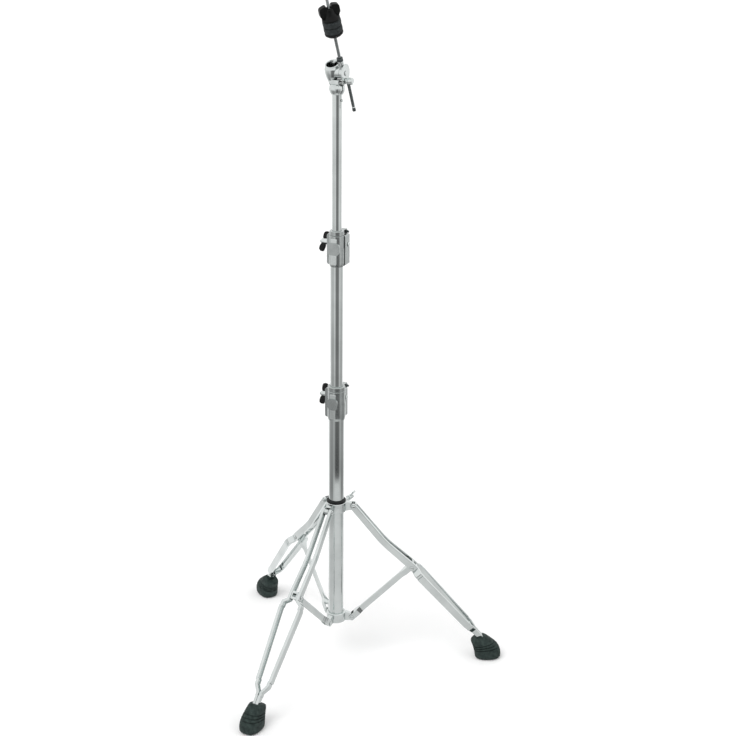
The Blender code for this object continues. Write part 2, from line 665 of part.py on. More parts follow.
# Height clamps
def clamp_sizes(large_od, small_od):
    """Radii that follow from the two tubes a clamp joins."""
    socket = large_od / 2 + GAP
    bush_in = small_od / 2 + GAP
    bush_out = socket - 1.0 * MM
    barrel = socket + CLAMP_WALL
    neck = max(bush_out + GAP + CLAMP_WALL, barrel - 1.2 * MM)
    bolt_y = neck + BOLT_RADIUS + BOLT_BEHIND
    return socket, bush_in, bush_out, barrel, neck, bolt_y


def clamp_body(name, large_od, small_od, parent, block, pad_width):
    """The cast clamp: a socket on the larger tube, a split seat for the bush, a rear block for the bolt."""
    socket, bush_in, bush_out, barrel, neck, bolt_y = clamp_sizes(large_od, small_od)
    nut_side, head_side, front = block
    height = CLAMP_BODY_HEIGHT
    shoulder = SOCKET_DEPTH + 1.0 * MM
    seat = bush_out + GAP
    flare = 4.0 * MM
    outline = [(0, height), (neck - 0.8 * MM, height), (neck, height - 0.8 * MM), (neck, shoulder + flare),
               (barrel, shoulder), (barrel, 7 * MM), (barrel - 1.6 * MM, 0), (0, 0)]
    body = turned(name, outline, CAST, parent, sides=36)
    back = bolt_y + BOLT_RADIUS + GAP + BEHIND_BOLT
    depth = back - front
    low, high, corner = 0.3 * MM, height - 0.3 * MM, BLOCK_CORNER
    block_outline = [(-nut_side + corner, low), (head_side - corner, low), (head_side, low + corner),
                     (head_side, high - corner), (head_side - corner, high), (-nut_side + corner, high),
                     (-nut_side, high - corner), (-nut_side, low + corner)]
    rear = plate(f"{name}_block", block_outline, depth, None, parent, (0, (front + back) / 2, 0),
                 (90 * DEG, 0, 0))
    boolean(body, rear, "UNION")
    pad_front = barrel + 1.8 * MM
    pad_depth = pad_front - seat - 1.2 * MM
    pad = plate(f"{name}_pad", pad_outline(pad_width), pad_depth, None, parent,
                (0, -(pad_front - pad_depth / 2), PAD_START), (90 * DEG, 0, 0))
    boolean(body, pad, "UNION")
    slit_depth = depth * 3
    slit = box(f"{name}_slit", (CLAMP_SLIT, slit_depth, height * 3), None, parent,
               (0, seat * 0.5 + slit_depth / 2, height))
    boolean(body, slit, "DIFFERENCE")
    bolt_hole = bar(f"{name}_bolt_hole", BOLT_RADIUS + GAP, (nut_side + head_side) * 2, None, parent,
                    (0, bolt_y, CLAMP_BOLT_HEIGHT), ALONG_X, sides=16)
    boolean(body, bolt_hole, "DIFFERENCE")
    bore_outline = [(0, height * 2), (seat, height * 2), (seat, shoulder), (socket, shoulder),
                    (socket, -height), (0, -height)]
    bore = turned(f"{name}_bore", bore_outline, None, parent, rotation=(0, 0, 5 * DEG), sides=36)
    boolean(body, bore, "DIFFERENCE")
    bush_bottom = shoulder + 1 * MM + 2 * GAP
    turned(f"{name}_bush", tube_outline(bush_out, bush_in, shoulder + BUSH_LENGTH, bush_bottom), NYLON,
           parent, sides=36, ring=True)


def pad_outline(width):
    """Outline of the raised pad on the front of a clamp, from its lower edge at the height 0."""
    corner = 8 * MM
    reach = width / 2 - corner
    return (arc(reach, corner, corner, -90, 0, 3) + arc(reach, PAD_HEIGHT - corner, corner, 0, 90, 3)
            + arc(-reach, PAD_HEIGHT - corner, corner, 90, 180, 3) + arc(-reach, corner, corner, 180, 270, 3))


def clamp_bolt(name, bolt_y, nut_side, head_side, parent):
    """The cross bolt. It runs along X behind the tube, its head at +X."""
    start = -(nut_side + NUT_CLEAR + NUT_LENGTH + 3 * MM)
    head = head_side + GAP
    outline = [(0, head + 4 * MM), (4 * MM, head + 4 * MM), (5 * MM, head + 3 * MM), (5 * MM, head),
               (BOLT_RADIUS, head), (BOLT_RADIUS, start + 0.6 * MM), (BOLT_RADIUS - 0.6 * MM, start),
               (0, start)]
    turned(name, outline, CHROME, parent, (0, bolt_y, CLAMP_BOLT_HEIGHT), ALONG_X, sides=16)


def clamp_wing_nut(name, parent):
    """The wing nut of a clamp. Local Z points outward along the bolt, from the block's face."""
    bore = BOLT_RADIUS + GAP
    outline = [(bore, NUT_LENGTH), (5.0 * MM, NUT_LENGTH), (5.8 * MM, NUT_LENGTH - 1 * MM),
               (6.4 * MM, NUT_BLADE_START + 2 * MM), (7 * MM, 1.5 * MM), (7 * MM, 0), (bore, 0)]
    nut = turned(name, outline, WING_BLACK, parent, sides=20, ring=True)
    wing = plate(f"{name}_blade", wing_outline(WING_SPAN, 12 * MM, 0.5 * MM), 6.0 * MM, None, parent,
                 (0, 0, NUT_BLADE_START), (90 * DEG, 0, 0))
    boolean(nut, wing, "UNION")
    bore_cut = bar(f"{name}_bore", bore, 60 * MM, None, parent, sides=20)
    boolean(nut, bore_cut, "DIFFERENCE")


def memory_lock(name, large_od, small_od, parent):
    """The keyed ring on top of a clamp, with the bolt that closes it. The origin is its lower face."""
    neck = clamp_sizes(large_od, small_od)[4]
    inner = small_od / 2 + GAP
    ring = turned(name, tube_outline(neck, inner, LOCK_HEIGHT, 0, 0.8 * MM), CAST, parent, sides=32,
                  ring=True)
    reach = neck + 10 * MM
    lug_start = inner + 1.5 * MM
    lug = box(f"{name}_lug", (2 * LOCK_LUG_SIDE, reach - lug_start, LOCK_HEIGHT - 0.8 * MM), None, parent,
              (0, (reach + lug_start) / 2, LOCK_HEIGHT / 2))
    boolean(ring, lug, "UNION")
    bore = bar(f"{name}_bore", inner, LOCK_HEIGHT * 3, None, parent, sides=32)
    boolean(ring, bore, "DIFFERENCE")
    slit = box(f"{name}_slit", (1.8 * MM, reach * 2, LOCK_HEIGHT * 3), None, parent,
               (0, reach + inner * 0.5, 0))
    boolean(ring, slit, "DIFFERENCE")
    key_y = neck + 4.5 * MM
    hole = bar(f"{name}_key_hole", 2 * MM + GAP, 60 * MM, None, parent, (0, key_y, KEY_HEIGHT), ALONG_X,
               sides=12)
    boolean(ring, hole, "DIFFERENCE")
    face = LOCK_LUG_SIDE + GAP
    tip = face + 5.7 * MM
    outline = [(0, tip), (2.2 * MM, tip), (2.2 * MM, face + 2.5 * MM), (3.6 * MM, face + 2.5 * MM),
               (3.6 * MM, face), (2 * MM, face), (2 * MM, -face), (0, -face)]
    turned(f"{name}_key_bolt", outline, DARK_STEEL, parent, (0, key_y, KEY_HEIGHT), ALONG_X, sides=12)


def height_clamp(name, tubes, body_parent, bottom, block, pad_width):
    """One whole clamp: body, bush, bolt, nut and memory lock, for a larger and a smaller tube."""
    seat = empty(f"{name}_seat", body_parent, (0, 0, bottom), (0, 0, HARDWARE_TURN))
    bolt_y = clamp_sizes(*tubes)[-1]
    nut_side, head_side = block[:2]
    clamp_body(name, *tubes, seat, block, pad_width)
    clamp_bolt(f"{name}_bolt", bolt_y, nut_side, head_side, seat)
    nut_axis = empty(f"{name}_nut_axis", seat, (-(nut_side + NUT_CLEAR), bolt_y, CLAMP_BOLT_HEIGHT),
                     (0, -90 * DEG, 0))
    clamp_wing_nut(f"{name}_wing_nut", empty(f"{name}_nut_turn", nut_axis, rotation=(0, 0, CLAMP_NUT_TURN)))
    lock_seat = empty(f"{name}_lock_seat", seat, (0, 0, CLAMP_BODY_HEIGHT + GAP))
    memory_lock(f"{name}_lock", *tubes, lock_seat)


# Tilter and rod
def upper_tube(parent):
    """The upper tube, up into the tilter's neck, with its stop screw."""
    inner = UPPER_OD / 2 - TUBE_WALL
    bottom = UPPER_CLAMP_BOTTOM - UPPER_HIDDEN
    tube = turned("upper_tube", tube_outline(UPPER_OD / 2, inner, NECK_TOP - 4 * MM, bottom), CHROME, parent,
                  sides=TUBE_SIDES, ring=True)
    hole = bar("upper_tube_screw_hole", 1.5 * MM + GAP, 12 * MM, None, parent,
               (UPPER_OD / 2, 0, STOP_SCREW_HEIGHT), ALONG_X, sides=12)
    boolean(tube, hole, "DIFFERENCE")
    face = UPPER_OD / 2 + GAP
    outline = [(0, face + 2.2 * MM), (1.6 * MM, face + 2.2 * MM), (2.6 * MM, face + 1.0 * MM),
               (2.6 * MM, face), (1.5 * MM, face), (1.5 * MM, inner - 1 * MM), (0, inner - 1 * MM)]
    turned("stop_screw", outline, CHROME, parent, (0, 0, STOP_SCREW_HEIGHT), ALONG_X, sides=12)


def middle_tube(parent):
    """The middle tube, from inside the base tube up into the upper clamp."""
    bottom = LOWER_CLAMP_BOTTOM - MIDDLE_HIDDEN
    turned("middle_tube", tube_outline(MIDDLE_OD / 2, MIDDLE_OD / 2 - TUBE_WALL,
           UPPER_CLAMP_BOTTOM + SOCKET_DEPTH, bottom), CHROME, parent, sides=TUBE_SIDES, ring=True)


HOLDER_START = CUP_FACE + GAP
HOLDER_MIDDLE = HOLDER_START + HOLDER_THICKNESS / 2
CHEEK_START = HOLDER_START + HOLDER_THICKNESS + GAP
HOLDER_RADIUS = LEVER_DROP - BOLT_RADIUS - 2 * GAP


def tilter_housing(parent):
    """The neck on the upper tube and the open cup beside the rod holder. The origin is on the tilt axis."""
    bore = UPPER_OD / 2 + GAP
    top, bottom = NECK_TOP - TILT_HEIGHT, NECK_BOTTOM - TILT_HEIGHT
    middle = (top + bottom) / 2
    wide = NECK_RADIUS_OUT
    neck = [(0, top), (wide - 3.5 * MM, top), (wide - 0.9 * MM, top - 3.5 * MM), (wide, middle),
            (wide - 1.2 * MM, bottom + 4 * MM), (wide - 4.6 * MM, bottom), (0, bottom)]
    housing = turned("tilter_housing", neck, CAST, parent, sides=32)
    deep = top - 3 * MM
    rim = CUP_MOUTH + 6 * MM
    outer = [(0, rim), (CUP_RADIUS, rim), (CUP_RADIUS, 6 * MM), (CUP_RADIUS - 0.8 * MM, 1 * MM),
             (CUP_RADIUS - 3.9 * MM, -8 * MM), (CUP_RADIUS - 7.6 * MM, -17 * MM),
             (CUP_RADIUS - 9.6 * MM, deep + 2 * MM), (CUP_RADIUS - 11 * MM, deep), (0, deep)]
    cup = turned("tilter_cup", outer, None, parent, (CUP_OFFSET, 0, 0), sides=28)
    boolean(housing, cup, "UNION")
    shelf_length = 22 * MM
    shelf = box("tilter_shelf", (shelf_length, 17 * MM, 9 * MM), None, parent,
                (CUP_FACE - shelf_length / 2, 0, top + 3.5 * MM))
    boolean(housing, shelf, "UNION")
    joint_face = bar("tilter_joint_face", HOLDER_RADIUS, CUP_FACE, None, parent, (CUP_FACE / 2, 0, 0),
                     ALONG_X, sides=32)
    boolean(housing, joint_face, "UNION")
    floor = -5 * MM
    hollow = [(0, rim * 3), (CUP_RADIUS - CUP_WALL, rim * 3), (CUP_RADIUS - CUP_WALL, 5 * MM),
              (CUP_RADIUS - CUP_WALL - 4 * MM, floor), (0, floor)]
    well = turned("tilter_well", hollow, None, parent, (CUP_OFFSET - 0.6 * MM, 0, 0), sides=28)
    boolean(housing, well, "DIFFERENCE")
    lid = box("tilter_mouth", (80 * MM, 80 * MM, 40 * MM), None, parent,
              Vector((0, -math.sin(ROD_LEAN), math.cos(ROD_LEAN))) * (CUP_MOUTH + 20 * MM), (ROD_LEAN, 0, 0))
    boolean(housing, lid, "DIFFERENCE")
    side = box("tilter_face_cut", (30 * MM, 60 * MM, 60 * MM), None, parent,
               (CUP_FACE + 15 * MM, 0, 30 * MM + top + GAP))
    boolean(housing, side, "DIFFERENCE")
    tube_bore = bar("tilter_tube_bore", bore, 40 * MM, None, parent, (0, 0, top - 4 * MM + GAP - 20 * MM),
                    sides=36)
    boolean(housing, tube_bore, "DIFFERENCE")
    axle = bar("tilter_axle_hole", BOLT_RADIUS + GAP, 30 * MM, None, parent, (CUP_FACE - 8 * MM, 0, 0),
               ALONG_X)
    boolean(housing, axle, "DIFFERENCE")
    thread = bar("tilter_lever_hole", BOLT_RADIUS + GAP, 24 * MM, None, parent, (CUP_FACE, 0, -LEVER_DROP),
                 ALONG_X)
    boolean(housing, thread, "DIFFERENCE")


def tilter_cheek(parent):
    """The round plate outside the rod holder, standing on the neck."""
    top = NECK_TOP - TILT_HEIGHT + GAP
    foot_half = 8 * MM
    outline = [(foot_half, top)] + arc(0, 0, CHEEK_RADIUS, -50, 230, 22) + [(-foot_half, top)]
    cheek = plate("tilter_cheek", outline, CHEEK_THICKNESS, CAST, parent,
                  (CHEEK_START + CHEEK_THICKNESS / 2, 0, 0), (90 * DEG, 0, 90 * DEG))
    for label, z in (("axle", 0), ("lever", -LEVER_DROP)):
        hole = bar(f"tilter_cheek_{label}", BOLT_RADIUS + GAP, 30 * MM, None, parent, (CHEEK_START, 0, z),
                   ALONG_X)
        boolean(cheek, hole, "DIFFERENCE")


def tilter_axle(parent):
    """The cross axle that the rod holder turns on."""
    head = CHEEK_START + CHEEK_THICKNESS + GAP
    inner = CUP_FACE - CUP_WALL - 6.5 * MM
    outline = [(0, head + 1.8 * MM), (3.5 * MM, head + 1.8 * MM), (5 * MM, head + 0.8 * MM), (5 * MM, head),
               (BOLT_RADIUS, head), (BOLT_RADIUS, inner), (0, inner)]
    turned("tilter_axle", outline, CHROME, parent, rotation=ALONG_X, sides=16)


def tilter_lever(parent):
    """The lever: a screw along local X with a round hub, and a long splayed arm through it."""
    cheek_face = CHEEK_START + CHEEK_THICKNESS + GAP
    end = cheek_face + LEVER_HUB
    hub, start = LEVER_HUB_RADIUS, end - LEVER_HUB_LENGTH
    tip = CUP_FACE - 8 * MM
    outline = [(0, end), (hub - 1.4 * MM, end), (hub, end - 1.4 * MM), (hub, start + 1.0 * MM),
               (hub - 1.0 * MM, start), (5.4 * MM, start), (5.4 * MM, cheek_face),
               (BOLT_RADIUS, cheek_face), (BOLT_RADIUS, tip), (0, tip)]
    lever = turned("tilter_lever", outline, DARK_STEEL, parent, rotation=ALONG_X, sides=20)
    root = Vector((cheek_face + LEVER_ROOT, 0, 0))
    direction = Vector((math.sin(LEVER_SPLAY), 0, -math.cos(LEVER_SPLAY)))
    aim = (0, 180 * DEG - LEVER_SPLAY, 0)
    above = (LEVER_ROOT - LEVER_ARM_RADIUS * math.cos(LEVER_SPLAY)) / math.sin(LEVER_SPLAY)
    arm = bar("tilter_lever_arm", LEVER_ARM_RADIUS, LEVER_REACH + above, None, parent,
              root + direction * (LEVER_REACH - above) / 2, aim, sides=14, end=2.4 * MM)
    boolean(lever, arm, "UNION")
    knob = bar("tilter_lever_tip", 3.5 * MM, 7 * MM, None, parent, root + direction * LEVER_REACH, aim,
               sides=14, end=3.0 * MM)
    boolean(lever, knob, "UNION")


def rod_holder(parent):
    """The disc on the tilt axis with the stepped boss for the rod. Local Z runs along the rod."""
    holder = bar("rod_holder", HOLDER_RADIUS, HOLDER_THICKNESS, CAST, parent, (HOLDER_MIDDLE, 0, 0), ALONG_X,
                 sides=32)
    step = CHEEK_RADIUS + 0.6 * MM
    slim = HOLDER_THICKNESS / 2 - 0.1 * MM
    outline = [(0, BOSS_END), (BOSS_RADIUS - 0.6 * MM, BOSS_END), (BOSS_RADIUS, BOSS_END - 0.6 * MM),
               (BOSS_RADIUS, step + 0.8 * MM), (BOSS_RADIUS - 0.8 * MM, step), (slim, step), (slim, 5 * MM),
               (0, 5 * MM)]
    boss = turned("rod_holder_boss", outline, None, parent, (HOLDER_MIDDLE, 0, 0), sides=20)
    boolean(holder, boss, "UNION")
    axle = bar("rod_holder_axle", BOLT_RADIUS + GAP, 40 * MM, None, parent, (HOLDER_MIDDLE, 0, 0), ALONG_X)
    boolean(holder, axle, "DIFFERENCE")
    bore = bar("rod_holder_bore", ROD_RADIUS + GAP, 40 * MM, None, parent,
               (HOLDER_MIDDLE, 0, ROD_START - GAP + 20 * MM), sides=16)
    boolean(holder, bore, "DIFFERENCE")


def rod_and_seat(parent):
    """The rod, its lock nut, the cymbal seat, the sleeve and the lower felt. Local Z is the rod."""
    spot = (HOLDER_MIDDLE, 0, 0)
    turned("cymbal_rod", rod_outline(ROD_RADIUS, ROD_END, ROD_START, 0.6 * MM), CHROME, parent, spot,
           sides=16)
    bore = ROD_RADIUS + GAP
    nut_bottom = BOSS_END + GAP
    nut_top = nut_bottom + LOCK_NUT_HEIGHT
    nut = turned("rod_lock_nut", rod_outline(LOCK_NUT_RADIUS, nut_top, nut_bottom, 0.7 * MM), DARK_STEEL,
                 parent, spot, sides=6)
    nut_bore = bar("rod_lock_nut_bore", bore, 80 * MM, None, parent, (HOLDER_MIDDLE, 0, nut_bottom), sides=16)
    boolean(nut, nut_bore, "DIFFERENCE")
    seat_top = SEAT_START + SEAT_HEIGHT
    wide = SEAT_RADIUS
    outline = [(bore, seat_top), (wide - 0.8 * MM, seat_top), (wide, seat_top - 1 * MM),
               (wide - 0.2 * MM, SEAT_START + 7 * MM), (wide - 3.4 * MM, SEAT_START + 4.2 * MM),
               (5.5 * MM, SEAT_START + 1.6 * MM), (4.6 * MM, SEAT_START), (bore, SEAT_START)]
    turned("seat_cup", outline, NYLON, parent, spot, sides=36, ring=True)
    sleeve_bottom = seat_top + GAP
    sleeve_top = sleeve_bottom + LOWER_FELT_HEIGHT + UPPER_FELT_HEIGHT + GAP
    turned("rod_sleeve", tube_outline(SLEEVE_RADIUS, bore, sleeve_top, sleeve_bottom), NYLON, parent, spot,
           sides=20, ring=True)
    felt_bottom = seat_top + GAP
    felt("lower_felt", felt_bottom, LOWER_FELT_HEIGHT, parent, spot)


def felt(name, bottom, height, parent, spot):
    """A felt washer with soft edges around the sleeve."""
    inner, outer, soft = SLEEVE_RADIUS + GAP, FELT_RADIUS, 1.8 * MM
    top = bottom + height
    outline = [(inner, top), (outer - soft, top), (outer - soft * 0.3, top - soft * 0.3), (outer, top - soft),
               (outer, bottom + soft), (outer - soft * 0.3, bottom + soft * 0.3), (outer - soft, bottom),
               (inner, bottom)]
    turned(name, outline, FELT, parent, spot, sides=32, ring=True)


UPPER_FELT_BOTTOM = SEAT_START + SEAT_HEIGHT + GAP + LOWER_FELT_HEIGHT + GAP
NUT_BOTTOM = UPPER_FELT_BOTTOM + UPPER_FELT_HEIGHT + GAP


def cymbal_wing_nut(parent):
    """The two-lobed nut on the rod. The origin is its lower face, on the rod's axis."""
    bore = ROD_RADIUS + GAP
    notch = 22 * MM
    outline = [(0, notch), (6.2 * MM, notch), (7.8 * MM, notch - 2 * MM), (9.5 * MM, 11 * MM),
               (13.5 * MM, 5 * MM), (16.5 * MM, 3.2 * MM), (17.2 * MM, 2 * MM), (17.2 * MM, 0.6 * MM),
               (16.6 * MM, 0), (0, 0)]
    nut = turned("cymbal_wing_nut", outline, WING_BLACK, parent, sides=28)
    half, top = NUT_SPAN / 2, NUT_HEIGHT
    right = ([(4 * MM, 2 * MM), (half - 4.5 * MM, 3 * MM)]
             + arc(half - 3.5 * MM, 12 * MM, 3.5 * MM, -50, 0, 2)
             + arc(half - 6.5 * MM, top - 8 * MM, 6.5 * MM, 0, 72, 4)
             + arc(8.2 * MM, top - 4 * MM, 4 * MM, 76, 170, 4)
             + [(4.1 * MM, notch - 1 * MM)])
    lobes = plate("cymbal_nut_lobes", right + [(-x, y) for x, y in reversed(right)], 9 * MM, None, parent,
                  rotation=(90 * DEG, 0, 0))
    boolean(nut, lobes, "UNION")
    bore_cut = bar("cymbal_nut_bore", bore, 90 * MM, None, parent, sides=20)
    boolean(nut, bore_cut, "DIFFERENCE")


def sole_middle(stand):
    """Middle of the box around the three feet, which stand furthest out, on the floor."""
    bpy.context.view_layer.update()
    depsgraph = bpy.context.evaluated_depsgraph_get()
    xs, ys = [], []
    for side in LEG_AZIMUTHS:
        foot = bpy.data.objects[f"foot_{side}"].evaluated_get(depsgraph)
        for vertex in foot.to_mesh().vertices:
            point = foot.matrix_world @ vertex.co
            xs.append(point.x)
            ys.append(point.y)
    return Vector(((min(xs) + max(xs)) / 2, (min(ys) + max(ys)) / 2, 0))


def report_axes(names):
    """Print the world position and local axes of the joints' markers."""
    bpy.context.view_layer.update()
    for name in names:
        frame = bpy.data.objects[name].matrix_world
        place = [round(v, 6) for v in frame.translation]
        axes = [[round(v, 6) for v in frame.col[i][:3]] for i in range(3)]
        print("axis", name, place, axes)


def build():
    """The whole stand, under one marker that puts the middle of its feet on the origin."""
    stand = empty("stand_origin", None)
    base_tube(stand)
    lower_leg_collar(stand)
    collar = empty("collar_slide", stand, (0, 0, TOP_PIVOT_HEIGHT))
    sliding_collar(collar)
    bolt_axis = empty("collar_bolt_axis", collar, rotation=(0, 90 * DEG, WING_BOLT_AZIMUTH))
    collar_wing_bolt(empty("collar_bolt_turn", bolt_axis, rotation=(0, 0, WING_BOLT_TURN)))
    tripod(stand)
    height_clamp("lower_clamp", (BASE_OD, MIDDLE_OD), stand, LOWER_CLAMP_BOTTOM,
                 (*LOWER_BLOCK_SIDES, LOWER_BLOCK_FRONT), LOWER_PAD_WIDTH)
    middle = empty("middle_slide", stand)
    middle_tube(middle)
    height_clamp("upper_clamp", (MIDDLE_OD, UPPER_OD), middle, UPPER_CLAMP_BOTTOM,
                 (*UPPER_BLOCK_SIDES, UPPER_BLOCK_FRONT), UPPER_PAD_WIDTH)
    upper = empty("upper_slide", middle, rotation=(0, 0, HARDWARE_TURN))
    upper_tube(upper)
    tilter = empty("tilt_axis", upper, (0, 0, TILT_HEIGHT))
    tilter_housing(tilter)
    tilter_cheek(tilter)
    tilter_axle(tilter)
    tilter_lever(empty("lever_axis", tilter, (0, 0, -LEVER_DROP)))
    rod = empty("rod_frame", tilter, rotation=(ROD_LEAN, 0, 0))
    rod_holder(rod)
    rod_and_seat(rod)
    lift = empty("felt_lift", rod, (HOLDER_MIDDLE, 0, UPPER_FELT_BOTTOM))
    felt("upper_felt", 0, UPPER_FELT_HEIGHT, lift, (0, 0, 0))
    nut = empty("cymbal_nut_axis", lift, (0, 0, NUT_BOTTOM - UPPER_FELT_BOTTOM), (0, 0, NUT_TURN))
    cymbal_wing_nut(nut)
    stand.location = -sole_middle(stand)
    thigh, height = folded_pose()
    travel = height - TOP_PIVOT_HEIGHT
    turn = BRACE_ANGLE - FOLDED_BRACE_ANGLE
    leg_turn = turn + THIGH_ANGLE - thigh
    print("fold", round(turn, 6), "leg turn", round(leg_turn, 6), "collar travel", round(travel, 6))
    markers = ["stand_origin", "collar_slide", "collar_bolt_axis", "lower_clamp_nut_axis",
               "upper_clamp_nut_axis", "lower_clamp_lock_seat", "upper_clamp_lock_seat", "tilt_axis",
               "lever_axis", "rod_frame", "felt_lift", "cymbal_nut_axis"]
    markers += [f"{joint}_axis_{side}" for joint in ("brace", "knee") for side in LEG_AZIMUTHS]
    report_axes(markers)


build()
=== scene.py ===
"""Looks of a chrome cymbal stand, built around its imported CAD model.

Every piece is placed on the axes and extents of the frame's own nodes, so that nothing is moved or resized.
"""

import json
import logging
import math
import random
from collections.abc import Callable, Sequence
from dataclasses import dataclass, field
from enum import Enum

import bmesh
import bpy
from mathutils import Euler, Matrix, Vector, noise

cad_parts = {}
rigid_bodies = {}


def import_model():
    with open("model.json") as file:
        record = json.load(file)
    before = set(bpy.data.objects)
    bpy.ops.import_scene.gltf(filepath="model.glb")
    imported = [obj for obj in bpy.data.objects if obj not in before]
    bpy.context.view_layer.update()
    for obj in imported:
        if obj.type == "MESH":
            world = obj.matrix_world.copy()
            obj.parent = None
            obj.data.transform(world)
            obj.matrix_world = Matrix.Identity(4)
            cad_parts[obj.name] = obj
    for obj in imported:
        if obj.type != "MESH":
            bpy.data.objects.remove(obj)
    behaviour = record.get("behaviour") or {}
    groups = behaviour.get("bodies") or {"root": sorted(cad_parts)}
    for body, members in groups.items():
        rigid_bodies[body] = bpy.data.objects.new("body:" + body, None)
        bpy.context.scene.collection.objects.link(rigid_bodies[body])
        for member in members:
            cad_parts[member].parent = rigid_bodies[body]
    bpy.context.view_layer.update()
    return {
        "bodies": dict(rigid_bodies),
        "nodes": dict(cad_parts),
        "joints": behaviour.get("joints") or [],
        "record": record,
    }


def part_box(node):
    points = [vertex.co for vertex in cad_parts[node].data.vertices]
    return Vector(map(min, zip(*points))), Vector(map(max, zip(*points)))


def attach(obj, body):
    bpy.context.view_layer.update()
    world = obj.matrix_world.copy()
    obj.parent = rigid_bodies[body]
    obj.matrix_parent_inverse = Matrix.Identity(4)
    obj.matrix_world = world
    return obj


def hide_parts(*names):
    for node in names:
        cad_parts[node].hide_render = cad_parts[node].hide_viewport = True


LOG = logging.getLogger("cymbal_stand")
MM = 0.001
UP = Vector((0, 0, 1))


class Slot(Enum):
    """The record's material slots."""

    CHROME = "chrome"
    CASTING = "casting"
    DARK_STEEL = "dark_steel"
    NYLON = "nylon"
    WING = "black_wing"
    RUBBER = "rubber"
    FELT = "felt"


class Side(Enum):
    """The three legs, by the names that their nodes carry."""

    RIGHT = "right"
    FRONT_LEFT = "front_left"
    REAR_LEFT = "rear_left"


def linear(value: str) -> tuple[float, float, float, float]:
    """Turn an sRGB hex value into linear colour with full alpha."""
    parts = [int(value[i:i + 2], 16) / 255 for i in (1, 3, 5)]
    red, green, blue = (c / 12.92 if c <= 0.04045 else ((c + 0.055) / 1.055) ** 2.4 for c in parts)
    return red, green, blue, 1.0


def add_node(tree: bpy.types.NodeTree, kind: str, settings: dict | None = None,
             links: dict | None = None) -> bpy.types.Node:
    """Add a node with its settings and links.

    Args:
        tree: The tree that the node goes into.
        kind: The node's type name.
        settings: Values by attribute name, or by socket name or number where there is no such attribute.
        links: Output sockets by the name or number of the input that they feed.

    Returns:
        The new node.
    """
    node = tree.nodes.new(kind)
    for name, value in (settings or {}).items():
        if isinstance(name, str) and hasattr(node, name):
            setattr(node, name, value)
        else:
            node.inputs[name].default_value = value
    for name, socket in (links or {}).items():
        tree.links.new(socket, node.inputs[name])
    return node


def ramp(tree: bpy.types.NodeTree, value: bpy.types.NodeSocket,
         stops: Sequence[tuple[float, tuple[float, float, float, float]]]) -> bpy.types.NodeSocket:
    """Colour a value by a ramp.

    Args:
        tree: The tree that the ramp goes into.
        value: The socket to colour.
        stops: Position and linear colour of each stop, in rising order.

    Returns:
        The colour socket.
    """
    node = add_node(tree, "ShaderNodeValToRGB", links={"Fac": value})
    elements = node.color_ramp.elements
    elements[0].position, elements[0].color = stops[0]
    elements[1].position, elements[1].color = stops[-1]
    for position, colour in stops[1:-1]:
        made = elements.new(position)
        made.color = colour
    return node.outputs["Color"]


def grey(level: float) -> tuple[float, float, float, float]:
    """A neutral linear colour."""
    return level, level, level, 1.0


